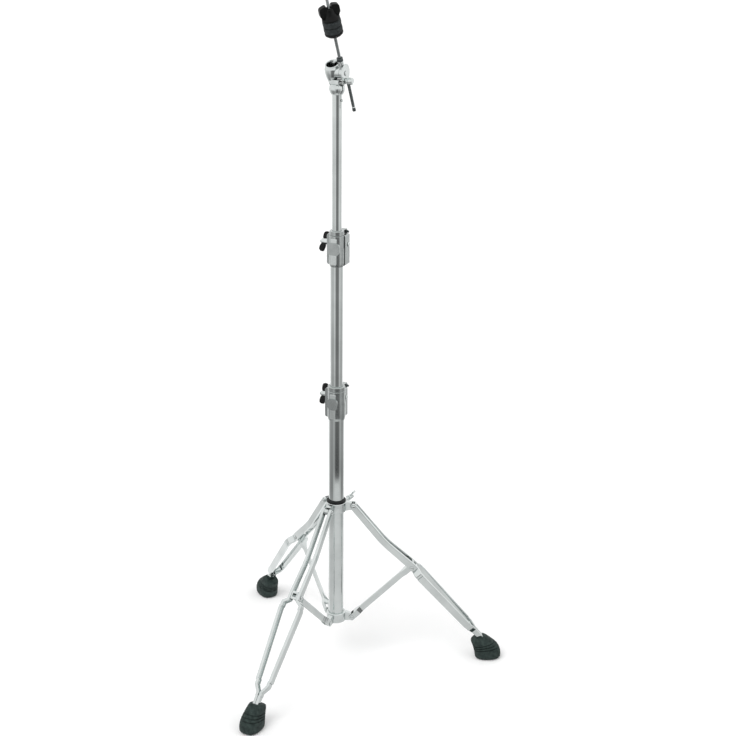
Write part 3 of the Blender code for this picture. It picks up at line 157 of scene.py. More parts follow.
@dataclass(frozen=True)
class Metal:
    """A plated metal finish, with painted shade in its recesses.

    Attributes:
        name: Material name.
        clean: Colour of the clean plate, sRGB hex.
        hazed: Colour where handling has dulled it, sRGB hex.
        smooth: Roughness of the clean plate.
        rough: Roughness of the hazed plate.
        haze_mm: Size of a hazed patch.
        skin_mm: Size of the waves in the skin below the plate.
        skin_height: Height of those waves, in millimetres.
        scratch_mm: Spacing of the fine polishing lines.
        scratch_height: Height of the polishing lines, in millimetres.
        recess_shade: Tint of the painted shade on the plate deep in a recess, sRGB hex.
        recess_mm: Reach of the painted shade in recesses.
    """

    name: str
    clean: str
    hazed: str
    smooth: float
    rough: float
    haze_mm: float
    skin_mm: float
    skin_height: float
    scratch_mm: float
    scratch_height: float
    recess_shade: str
    recess_mm: float

    def build(self) -> bpy.types.Material:
        """Make the material.

        Returns:
            The new material.
        """
        material = bpy.data.materials.new(self.name)
        material.use_nodes = True
        tree = material.node_tree
        tree.nodes.clear()
        place = add_node(tree, "ShaderNodeTexCoord").outputs["Object"]
        haze = add_node(tree, "ShaderNodeTexNoise", {"Scale": 1 / (self.haze_mm * MM), "Detail": 3.0,
                                                     "Roughness": 0.55}, {"Vector": place}).outputs["Fac"]
        smears = add_node(tree, "ShaderNodeTexNoise", {"Scale": 1 / (self.haze_mm * 0.22 * MM), "Detail": 5.0,
                                                       "Distortion": 1.2}, {"Vector": place}).outputs["Fac"]
        plate = ramp(tree, haze, [(0.38, linear(self.clean)), (0.72, linear(self.hazed))])
        # Painted shade: ambient occlusion darkens the plate towards its recess tint in recesses and between parts.
        shelter = add_node(tree, "ShaderNodeAmbientOcclusion", {"Distance": self.recess_mm * MM, "samples": 8})
        painted_recess_shade = ramp(tree, shelter.outputs["AO"], [(0.18, linear(self.recess_shade)), (0.62, grey(1.0))])
        colour = add_node(tree, "ShaderNodeMix", {"data_type": "RGBA", "blend_type": "MULTIPLY", 0: 1.0},
                          {6: plate, 7: painted_recess_shade}).outputs[2]
        patch = add_node(tree, "ShaderNodeMath", {"operation": "MULTIPLY"}, {0: haze, 1: smears})
        rough = add_node(tree, "ShaderNodeMapRange", {"From Min": 0.14, "From Max": 0.42, "To Min": self.smooth,
                                                      "To Max": self.rough}, {"Value": patch.outputs["Value"]})
        skin = add_node(tree, "ShaderNodeTexNoise", {"Scale": 1 / (self.skin_mm * MM), "Detail": 2.0},
                        {"Vector": place}).outputs["Fac"]
        skin_bump = add_node(tree, "ShaderNodeBump", {"Distance": self.skin_height * MM, "Strength": 1.0},
                             {"Height": skin})
        drawn = add_node(tree, "ShaderNodeMapping", {"Scale": (1.0, 1.0, 0.02)}, {"Vector": place})
        lines = add_node(tree, "ShaderNodeTexNoise", {"Scale": 1 / (self.scratch_mm * MM), "Detail": 2.0},
                         {"Vector": drawn.outputs["Vector"]}).outputs["Fac"]
        bump = add_node(tree, "ShaderNodeBump", {"Distance": self.scratch_height * MM, "Strength": 1.0},
                        {"Height": lines, "Normal": skin_bump.outputs["Normal"]})
        shader = add_node(tree, "ShaderNodeBsdfPrincipled", {"Metallic": 1.0},
                          {"Base Color": colour, "Roughness": rough.outputs["Result"],
                           "Normal": bump.outputs["Normal"]})
        add_node(tree, "ShaderNodeOutputMaterial", links={"Surface": shader.outputs["BSDF"]})
        return material


@dataclass(frozen=True)
class Moulding:
    """A moulded plastic or rubber finish.

    Attributes:
        name: Material name.
        deep: Colour of the moulded skin, sRGB hex.
        pale: Colour of its paler mottling, sRGB hex.
        worn: Colour of rubbed edges, sRGB hex.
        shade: Tint of the painted shade deep in a groove, sRGB hex.
        smooth: Lowest roughness.
        rough: Highest roughness.
        mottle_mm: Size of the mottling.
        grain_mm: Size of the moulded grain.
        grain_height: Height of the grain, in millimetres.
        edge_mm: Reach of the rubbed edges.
        groove_mm: Width of the grooves that stay dark.
        gloss: Strength of the surface reflection, where 0.5 is that of clear plastic.
    """

    name: str
    deep: str
    pale: str
    worn: str
    shade: str
    smooth: float
    rough: float
    mottle_mm: float
    grain_mm: float
    grain_height: float
    edge_mm: float
    # groove_mm: Reach of the painted shade in grooves.
    groove_mm: float
    gloss: float

    def build(self) -> bpy.types.Material:
        """Make the material.

        Returns:
            The new material.
        """
        material = bpy.data.materials.new(self.name)
        material.use_nodes = True
        tree = material.node_tree
        tree.nodes.clear()
        place = add_node(tree, "ShaderNodeTexCoord").outputs["Object"]
        mottle = add_node(tree, "ShaderNodeTexNoise", {"Scale": 1 / (self.mottle_mm * MM), "Detail": 4.0},
                          {"Vector": place}).outputs["Fac"]
        skin = ramp(tree, mottle, [(0.36, linear(self.deep)), (0.7, linear(self.pale))])
        geometry = add_node(tree, "ShaderNodeNewGeometry")
        broken = add_node(tree, "ShaderNodeBevel", {"Radius": self.edge_mm * MM, "samples": 4})
        along = add_node(tree, "ShaderNodeVectorMath", {"operation": "DOT_PRODUCT"},
                         {0: geometry.outputs["Normal"], 1: broken.outputs["Normal"]})
        edge = add_node(tree, "ShaderNodeMapRange", {"From Min": 0.985, "From Max": 0.86, "To Min": 0.0,
                                                     "To Max": 0.75}, {"Value": along.outputs["Value"]})
        rubbed = add_node(tree, "ShaderNodeMath", {"operation": "MULTIPLY"},
                          {0: edge.outputs["Result"], 1: mottle})
        colour = add_node(tree, "ShaderNodeMix", {"data_type": "RGBA"},
                          {0: rubbed.outputs["Value"], 6: skin})
        colour.inputs[7].default_value = linear(self.worn)
        # Painted shade: ambient occlusion darkens the colour towards the shade tint in grooves.
        shelter = add_node(tree, "ShaderNodeAmbientOcclusion", {"Distance": self.groove_mm * MM, "samples": 8})
        deep = ramp(tree, shelter.outputs["AO"], [(0.3, linear(self.shade)), (0.8, grey(1.0))])
        colour = add_node(tree, "ShaderNodeMix", {"data_type": "RGBA", "blend_type": "MULTIPLY", 0: 1.0},
                          {6: colour.outputs[2], 7: deep})
        rough = add_node(tree, "ShaderNodeMapRange", {"To Min": self.rough, "To Max": self.smooth},
                         {"Value": mottle})
        grain = add_node(tree, "ShaderNodeTexNoise", {"Scale": 1 / (self.grain_mm * MM), "Detail": 3.0},
                         {"Vector": place}).outputs["Fac"]
        bump = add_node(tree, "ShaderNodeBump", {"Distance": self.grain_height * MM, "Strength": 0.8},
                        {"Height": grain})
        shader = add_node(tree, "ShaderNodeBsdfPrincipled", {"Metallic": 0.0, "Specular IOR Level": self.gloss},
                          {"Base Color": colour.outputs[2], "Roughness": rough.outputs["Result"],
                           "Normal": bump.outputs["Normal"]})
        add_node(tree, "ShaderNodeOutputMaterial", links={"Surface": shader.outputs["BSDF"]})
        return material


@dataclass(frozen=True)
class WoolFelt:
    """Pressed wool felt.

    Attributes:
        name: Material name.
        shade: Colour in the pits between fibres, sRGB hex.
        body: Main colour, sRGB hex.
        lint: Colour of the loose pale fibres, sRGB hex.
        fibre_mm: Spacing of the fibres, coarser than the real one so that it shows.
        clump_mm: Size of the clumps that pressing leaves.
    """

    name: str
    shade: str
    body: str
    lint: str
    fibre_mm: float
    clump_mm: float

    def build(self) -> bpy.types.Material:
        """Make the material.

        Returns:
            The new material.
        """
        material = bpy.data.materials.new(self.name)
        material.use_nodes = True
        tree = material.node_tree
        tree.nodes.clear()
        place = add_node(tree, "ShaderNodeTexCoord").outputs["Object"]
        clump = add_node(tree, "ShaderNodeTexNoise", {"Scale": 1 / (self.clump_mm * MM), "Detail": 5.0,
                                                      "Distortion": 0.8}, {"Vector": place}).outputs["Fac"]
        fibre = add_node(tree, "ShaderNodeTexNoise", {"Scale": 1 / (self.fibre_mm * MM), "Detail": 6.0,
                                                      "Roughness": 0.7, "Distortion": 2.0},
                         {"Vector": place}).outputs["Fac"]
        both = add_node(tree, "ShaderNodeMix", {"data_type": "FLOAT", "Factor": 0.45})
        tree.links.new(clump, both.inputs[2])
        tree.links.new(fibre, both.inputs[3])
        height = both.outputs[0]
        colour = ramp(tree, height, [(0.36, linear(self.shade)), (0.52, linear(self.body)),
                                     (0.7, linear(self.lint))])
        rough = add_node(tree, "ShaderNodeMapRange", {"To Min": 0.86, "To Max": 1.0}, {"Value": fibre})
        bump = add_node(tree, "ShaderNodeBump", {"Distance": 0.35 * MM, "Strength": 0.9}, {"Height": height})
        shader = add_node(tree, "ShaderNodeBsdfPrincipled", {"Metallic": 0.0, "Specular IOR Level": 0.15,
                                                             "Sheen Weight": 0.08, "Sheen Roughness": 0.6},
                          {"Base Color": colour, "Roughness": rough.outputs["Result"],
                           "Normal": bump.outputs["Normal"]})
        add_node(tree, "ShaderNodeOutputMaterial", links={"Surface": shader.outputs["BSDF"]})
        return material


# Each metal's last two values give the tint and the reach of its painted shade in recesses.
# Bright chrome plate on drawn steel: a clean mirror, softened by handling haze and fine lines along the draw
CHROMED_STEEL = Metal("chrome_plated_drawn_steel", "#dde2e1", "#cfd4d3", 0.05, 0.09, 60.0, 9.0, 0.006, 0.5, 0.001,
                      "#a4a9a9", 3.0)
# Bright chrome plate on die-cast zinc: the casting's skin leaves slow waves under the plate
CHROMED_ZINC = Metal("chrome_plated_die_cast_zinc", "#dce1e0", "#cacfce", 0.1, 0.2, 22.0, 3.5, 0.015, 0.8, 0.002,
                     "#242727", 13.0)
# Satin chrome on the clamps' castings: blasted below the plate, so it greys and blurs what it mirrors
SATIN_ZINC = Metal("satin_chromed_die_cast_zinc", "#bcc1c0", "#a9aead", 0.15, 0.26, 22.0, 3.5, 0.012, 0.8, 0.002,
                   "#35393a", 9.0)
# Painted shade for the well of the tilter's cup: a near-black metal standing for the shade and dark reflections
# inside the cup
CUP_WELL_SHADE = Metal("cup_well_painted_shade", "#2a2d2d", "#1c1f1f", 0.3, 0.5, 12.0, 3.0, 0.02, 0.8, 0.003, "#808080", 9.0)
# Zinc plate on the rolled thread of the rod: greyer and duller than chrome
ZINC_PLATED_ROD = Metal("zinc_plated_threaded_rod", "#a3a8a8", "#858a8b", 0.16, 0.3, 18.0, 3.0, 0.008, 0.5, 0.002,
                        "#505455", 1.6)
# Black chrome on steel: a dark mirror that greys where fingers rub it
BLACK_CHROME = Metal("black_chromed_steel", "#4a4f4f", "#63696a", 0.2, 0.34, 14.0, 3.0, 0.01, 0.5, 0.002,
                     "#6a6e6e", 4.0)
# Each moulding's fourth colour tints its painted shade in grooves.
# Moulded nylon: near black and slightly waxy, with a fine matt grain
MOULDED_NYLON = Moulding("moulded_nylon", "#101212", "#1a1d1d", "#303434", "#b0b0b0", 0.36, 0.52, 9.0, 0.7,
                         0.03, 0.5, 2.0, 0.22)
# Moulded ABS on the wings: black, smoother than the nylon, polished at its rubbed edges
MOULDED_ABS = Moulding("moulded_abs", "#090a0a", "#101212", "#1d2020", "#b0b0b0", 0.24, 0.38, 12.0, 0.9, 0.02,
                       0.7, 2.0, 0.18)
# Moulded rubber: greenish black, dusty in its skin and greyed on the raised edges
MOULDED_RUBBER = Moulding("moulded_rubber", "#1f2927", "#333f3c", "#55625e", "#4a4a4a", 0.5, 0.72, 7.0, 1.0, 0.06,
                          1.2, 4.0, 0.2)
# Pressed wool felt: charcoal fibres that scatter light, with pale lint
PRESSED_FELT = WoolFelt("pressed_wool_felt", "#171b1b", "#282d2e", "#434a4a", 1.1, 4.0)

FINISHES = {Slot.CHROME: CHROMED_STEEL, Slot.CASTING: CHROMED_ZINC, Slot.DARK_STEEL: BLACK_CHROME,
            Slot.NYLON: MOULDED_NYLON, Slot.WING: MOULDED_ABS, Slot.RUBBER: MOULDED_RUBBER,
            Slot.FELT: PRESSED_FELT}


@dataclass(frozen=True)
class Extent:
    """How far a node reaches along and around an axis.

    Attributes:
        start: Lowest distance along the axis, in metres.
        end: Highest distance along the axis.
        inner: Least distance from the axis.
        outer: Greatest distance from the axis.
    """

    start: float
    end: float
    inner: float
    outer: float


@dataclass(frozen=True)
class Axis:
    """A line in space, with the side direction that a piece on it faces.

    Attributes:
        origin: A point on the line.
        along: Unit direction of the line.
        side: Unit direction square to the line.
    """

    origin: Vector
    along: Vector
    side: Vector

    def matrix(self) -> Matrix:
        """Place of a piece whose local Z is the line and whose local X is the side."""
        across = self.along.cross(self.side)
        turn = Matrix((self.side, across, self.along)).transposed().to_4x4()
        return Matrix.Translation(self.origin) @ turn

    def point(self, distance: float) -> Vector:
        """The point at a distance along the line."""
        return self.origin + self.along * distance

    def moved(self, distance: float) -> "Axis":
        """The same line with its origin moved along it."""
        return Axis(self.point(distance), self.along, self.side)

    def extent(self, node: bpy.types.Object) -> Extent:
        """How far a node reaches along and around this line."""
        reach, radii = [], []
        for vertex in node.data.vertices:
            offset = vertex.co - self.origin
            distance = offset.dot(self.along)
            reach.append(distance)
            radii.append((offset - self.along * distance).length)
        return Extent(min(reach), max(reach), min(radii), max(radii))


def square_to(direction: Vector, hint: Vector) -> Vector:
    """The unit direction square to one direction and nearest to a hint."""
    return (hint - direction * hint.dot(direction)).normalized()


def rounded(points: Sequence[Sequence[float]], reach: float, steps: int = 3,
            closed: bool = False) -> list[tuple[float, ...]]:
    """Round the corners of a line of points of any dimension.

    Args:
        points: The corners.
        reach: Distance from a corner at which the rounding starts, at most.
        steps: Steps in each rounding.
        closed: Whether the last corner joins the first.

    Returns:
        The rounded points.
    """
    count = len(points)
    made = []
    for i, corner in enumerate(points):
        if not closed and i in (0, count - 1):
            made.append(tuple(corner))
            continue
        here = Vector(corner[:2]) if len(corner) == 2 else Vector(corner)
        back, ahead = Vector(points[i - 1]), Vector(points[(i + 1) % count])
        near = min(reach, (back - here).length * 0.48, (ahead - here).length * 0.48)
        if near <= 0:
            made.append(tuple(here))
            continue
        start = here + (back - here).normalized() * near
        end = here + (ahead - here).normalized() * near
        for k in range(steps + 1):
            t = k / steps
            made.append(tuple(start * (1 - t) ** 2 + here * 2 * t * (1 - t) + end * t ** 2))
    return made


def arc(centre: tuple[float, float], radius: float, start: float, end: float, steps: int) -> list[tuple]:
    """Points along a circular arc, angles in degrees."""
    turns = [math.radians(start + (end - start) * i / steps) for i in range(steps + 1)]
    return [(centre[0] + radius * math.cos(t), centre[1] + radius * math.sin(t)) for t in turns]


@dataclass
class Workshop:
    """The loaded frame, its finishes, and the ways in which pieces are made from it.

    Attributes:
        materials: Built materials by slot.
        pieces: The pieces made so far.
    """

    frame: dict
    materials: dict[Slot, bpy.types.Material] = field(default_factory=dict)
    pieces: list[bpy.types.Object] = field(default_factory=list)

    def __post_init__(self) -> None:
        """Build the finishes and note the joints and the pole."""
        self.materials = {slot: finish.build() for slot, finish in FINISHES.items()}
        self.joints = {joint["name"]: joint for joint in self.frame["joints"]}
        self.bodies = {node: body for body, nodes in self.frame["record"]["behaviour"]["bodies"].items()
                       for node in nodes}
        low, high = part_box("base_tube")
        middle = (low + high) / 2
        self.pole = Axis(Vector((middle.x, middle.y, 0)), UP, Vector((1, 0, 0)))

    def node(self, name: str) -> bpy.types.Object:
        """A CAD node by its name."""
        return self.frame["nodes"][name]

    def joint_axis(self, name: str, side: Vector) -> Axis:
        """The axis of a hinge, with a side direction."""
        joint = self.joints[name]
        along = Vector(joint["axis"]).normalized()
        return Axis(Vector(joint["pos_m"]), along, square_to(along, side))

    def finish_piece(self, name: str, mesh: bpy.types.Mesh, slot: Slot, body: str, nodes: Sequence[str] = (),
                     crease: float = 35.0) -> bpy.types.Object:
        """Put a mesh on the stand as a piece.

        Args:
            name: The piece's name.
            mesh: Its mesh, in the frame's own place.
            slot: The slot that it takes its finish from.
            body: The body that it moves with.
            nodes: CAD nodes that it stands for.
            crease: Angle above which an edge stays sharp, in degrees.

        Returns:
            The piece.
        """
        mesh.materials.clear()
        mesh.materials.append(self.materials[slot])
        mesh.shade_smooth()
        mesh.set_sharp_from_angle(angle=math.radians(crease))
        piece = bpy.data.objects.new(name, mesh)
        bpy.context.scene.collection.objects.link(piece)
        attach(piece, body)
        if nodes:
            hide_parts(*nodes)
        self.pieces.append(piece)
        LOG.info("piece %s on %s, %d faces", name, body, len(mesh.polygons))
        return piece

    @staticmethod
    def refinish(piece: bpy.types.Object, finish: Metal, first: int = 0) -> None:
        """Give a piece, or its faces from one on, another finish of the same slot."""
        material = bpy.data.materials.get(finish.name) or finish.build()
        if first == 0:
            piece.data.materials[0] = material
            return
        piece.data.materials.append(material)
        for polygon in piece.data.polygons[first:]:
            polygon.material_index = 1

    def weigh_normals(self) -> None:
        """Weigh every piece's normals by face area, so that flat faces reflect flatly up to their rounding."""
        for piece in self.pieces:
            modifier = piece.modifiers.new("weigh", "WEIGHTED_NORMAL")
            modifier.keep_sharp = True
            modifier.weight = 90
        graph = bpy.context.evaluated_depsgraph_get()
        for piece in self.pieces:
            mesh = bpy.data.meshes.new_from_object(piece.evaluated_get(graph), preserve_all_data_layers=True,
                                                   depsgraph=graph)
            piece.modifiers.clear()
            piece.data = mesh

    def turned(self, name: str, outline: Sequence[Sequence[float]], axis: Axis, slot: Slot, body: str,
               nodes: Sequence[str] = (), sides: int = 64, ring: bool = False, crease: float = 35.0,
               shape: Callable[[float, float, float], float] | None = None) -> bpy.types.Object:
        """Turn an outline about an axis.

        Args:
            name: The piece's name.
            outline: Radius and distance along the axis of each point. A solid starts and ends at radius 0.
            axis: The axis.
            slot: The slot of its finish.
            body: The body that it moves with.
            nodes: CAD nodes that it stands for.
            sides: Steps in the turn.
            ring: Whether the outline closes on itself.
            crease: Angle above which an edge stays sharp.
            shape: Gives a point's radius from its radius, distance and angle, where the piece isn't round.

        Returns:
            The piece.
        """
        place = axis.matrix()
        work = bmesh.new()
        rows = []
        for radius, distance in outline:
            if radius < 1e-7:
                rows.append([work.verts.new(place @ Vector((0, 0, distance)))])
                continue
            row = []
            for k in range(sides):
                turn = 2 * math.pi * k / sides
                r = shape(radius, distance, turn) if shape else radius
                row.append(work.verts.new(place @ Vector((r * math.cos(turn), r * math.sin(turn), distance))))
            rows.append(row)
        spans = list(zip(rows, rows[1:])) + ([(rows[-1], rows[0])] if ring else [])
        for first, second in spans:
            for k in range(sides):
                j = (k + 1) % sides
                corners = [first[k % len(first)], first[j % len(first)], second[j % len(second)],
                           second[k % len(second)]]
                unique = list(dict.fromkeys(corners))
                if len(unique) > 2:
                    work.faces.new(unique)
        bmesh.ops.recalc_face_normals(work, faces=work.faces)
        return self.finish_piece(name, self.mesh_of(name, work), slot, body, nodes, crease)

    def lofted(self, name: str, rings: Sequence[Sequence[Vector]], slot: Slot, body: str,
               nodes: Sequence[str] = (), crease: float = 35.0) -> bpy.types.Object:
        """Skin a list of equal rings of points and close both ends.

        Args:
            name: The piece's name.
            rings: The rings, in order.
            slot: The slot of its finish.
            body: The body that it moves with.
            nodes: CAD nodes that it stands for.
            crease: Angle above which an edge stays sharp.

        Returns:
            The piece.
        """
        work = bmesh.new()
        rows = [[work.verts.new(point) for point in ring] for ring in rings]
        count = len(rows[0])
        for lower, upper in zip(rows, rows[1:]):
            for i in range(count):
                j = (i + 1) % count
                work.faces.new((lower[i], lower[j], upper[j], upper[i]))
        work.faces.new(rows[0])
        work.faces.new(rows[-1])
        bmesh.ops.recalc_face_normals(work, faces=work.faces)
        return self.finish_piece(name, self.mesh_of(name, work), slot, body, nodes, crease)

    @staticmethod
    def mesh_of(name: str, work: bmesh.types.BMesh) -> bpy.types.Mesh:
        """Write a bmesh out as a mesh."""
        mesh = bpy.data.meshes.new(name)
        work.to_mesh(mesh)
        work.free()
        return mesh

    def broken_edges(self, node: str, slot: Slot, width_mm: float, name: str | None = None, steps: int = 2,
                     corner: float = 32.0, crease: float = 40.0) -> bpy.types.Object:
        """Make a piece from a CAD node's form, with its edges rounded as casting or pressing leaves them.

        Args:
            node: The CAD node that it stands for.
            slot: The slot of its finish.
            width_mm: Width of the rounding.
            name: The piece's name, or the node's with a suffix.
            steps: Steps across the rounding.
            corner: Angle above which an edge is rounded, in degrees.
            crease: Angle above which an edge stays sharp.

        Returns:
            The piece.
        """
        work = bmesh.new()
        work.from_mesh(self.node(node).data)
        bmesh.ops.remove_doubles(work, verts=work.verts, dist=0.005 * MM)
        bmesh.ops.dissolve_limit(work, angle_limit=math.radians(0.6), verts=work.verts, edges=work.edges)
        short = width_mm * MM * 0.5
        edges = [edge for edge in work.edges if len(edge.link_faces) == 2
                 and edge.calc_face_angle(0.0) > math.radians(corner) and edge.calc_length() > short]
        bmesh.ops.bevel(work, geom=edges, offset=width_mm * MM, offset_type="OFFSET", segments=steps,
                        profile=0.5, affect="EDGES", clamp_overlap=True)
        bmesh.ops.remove_doubles(work, verts=work.verts, dist=0.002 * MM)
        return self.finish_piece(name or f"{node}_piece", self.mesh_of(node, work), slot, self.bodies[node],
                                 [node], crease)

    def slab(self, outline: Sequence[tuple[float, float]], thickness: float, place: Matrix, edge: float,
             work: bmesh.types.BMesh, steps: int = 3) -> None:
        """Add a flat form with rounded edges to a bmesh.

        Args:
            outline: Its outline in its own XY plane.
            thickness: Its thickness along local Z.
            place: Where it goes.
            edge: Width of the rounding on its edges.
            work: The bmesh that it joins.
            steps: Steps across the rounding.
        """
        own = bmesh.new()
        lower = [own.verts.new((x, y, -thickness / 2)) for x, y in outline]
        upper = [own.verts.new((x, y, thickness / 2)) for x, y in outline]
        own.faces.new(list(reversed(lower)))
        own.faces.new(upper)
        count = len(outline)
        for i in range(count):
            j = (i + 1) % count
            own.faces.new((lower[i], lower[j], upper[j], upper[i]))
        bmesh.ops.recalc_face_normals(own, faces=own.faces)
        rims = [e for e in own.edges if all(v in lower for v in e.verts) or all(v in upper for v in e.verts)]
        bmesh.ops.bevel(own, geom=rims, offset=edge, offset_type="OFFSET", segments=steps, profile=0.5,
                        affect="EDGES", clamp_overlap=True)
        for vertex in own.verts:
            vertex.co = place @ vertex.co
        bmesh.ops.recalc_face_normals(own, faces=own.faces)
        spare = bpy.data.meshes.new("slab")
        own.to_mesh(spare)
        own.free()
        work.from_mesh(spare)
        bpy.data.meshes.remove(spare)


@dataclass(frozen=True)
class Thread:
    """A rolled screw thread.

    Attributes:
        pitch: Distance from crest to crest.
        depth: Height of a crest over its root.
        start: Distance along the axis at which it starts.
        end: Distance at which it ends.
        radius: Radius of the crests. Only points at this radius are cut.
    """

    pitch: float
    depth: float
    start: float
    end: float
    radius: float

    def cut(self, radius: float, distance: float, turn: float) -> float:
        """Radius of a point, cut by the thread where it lies on it."""
        if radius < self.radius - 0.05 * MM or not self.start <= distance <= self.end:
            return radius
        phase = (distance / self.pitch - turn / (2 * math.pi)) % 1.0
        fade = min(1.0, (distance - self.start) / self.pitch, (self.end - distance) / self.pitch)
        return radius - self.depth * max(fade, 0.0) * abs(2 * phase - 1)

    def stations(self) -> list[float]:
        """Distances along the axis that show the thread, five to a pitch."""
        count = max(int((self.end - self.start) / self.pitch * 5), 2)
        return [self.start + (self.end - self.start) * i / count for i in range(count + 1)]


@dataclass
class PoleTubes:
    """The three drawn tubes, the plug below them and the stop screw near the top.

    Attributes:
        wall: Wall of each tube.
        lip: Rounding of the tube ends.
    """

    wall: float = 1.5 * MM
    lip: float = 0.5 * MM

    def build(self, shop: Workshop) -> None:
        """Make the tubes, the plug and the screw."""
        for name in ("base_tube", "middle_tube", "upper_tube"):
            reach = shop.pole.extent(shop.node(name))
            inner = reach.outer - self.wall
            outline = rounded([(inner, reach.end), (reach.outer, reach.end), (reach.outer, reach.start),
                               (inner, reach.start)], self.lip, closed=True)
            shop.turned(f"{name}_drawn", outline, shop.pole, Slot.CHROME, shop.bodies[name], [name], sides=96,
                        ring=True)
        shop.broken_edges("base_plug", Slot.NYLON, 0.5)
        self.stop_screw(shop)

    def stop_screw(self, shop: Workshop) -> None:
        """Make the pan-headed screw that stops the upper tube."""
        low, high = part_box("stop_screw")
        along = Vector(shop.joints["rod_tilt"]["axis"]).normalized()
        axis = Axis((low + high) / 2, along, UP)
        reach = axis.extent(shop.node("stop_screw"))
        shank, head = 1.5 * MM, 2.2 * MM
        face = reach.end - head
        outline = rounded([(0, reach.end), (reach.outer * 0.75, reach.end), (reach.outer, face + head * 0.4),
                           (reach.outer, face), (shank, face), (shank, reach.start), (0, reach.start)], 0.5 * MM)
        shop.turned("stop_screw_pan_head", outline, axis, Slot.CHROME, "upper", ["stop_screw"], sides=24)


@dataclass
class LegCollars:
    """The two cast collars of the legs, the sliding one's bush and its wing bolt.

    Attributes:
        cast_edge_mm: Rounding of the cast edges.
        wing_edge_mm: Rounding of the wing bolt's edges.
    """

    cast_edge_mm: float = 0.8
    wing_edge_mm: float = 0.9

    def build(self, shop: Workshop) -> None:
        """Make the collars."""
        shop.broken_edges("lower_leg_collar", Slot.CASTING, self.cast_edge_mm, steps=3)
        shop.broken_edges("upper_leg_collar", Slot.CASTING, self.cast_edge_mm, steps=3)
        shop.broken_edges("collar_bush", Slot.NYLON, 0.5, steps=3)
        shop.broken_edges("collar_wing_bolt", Slot.CHROME, self.wing_edge_mm, steps=3)


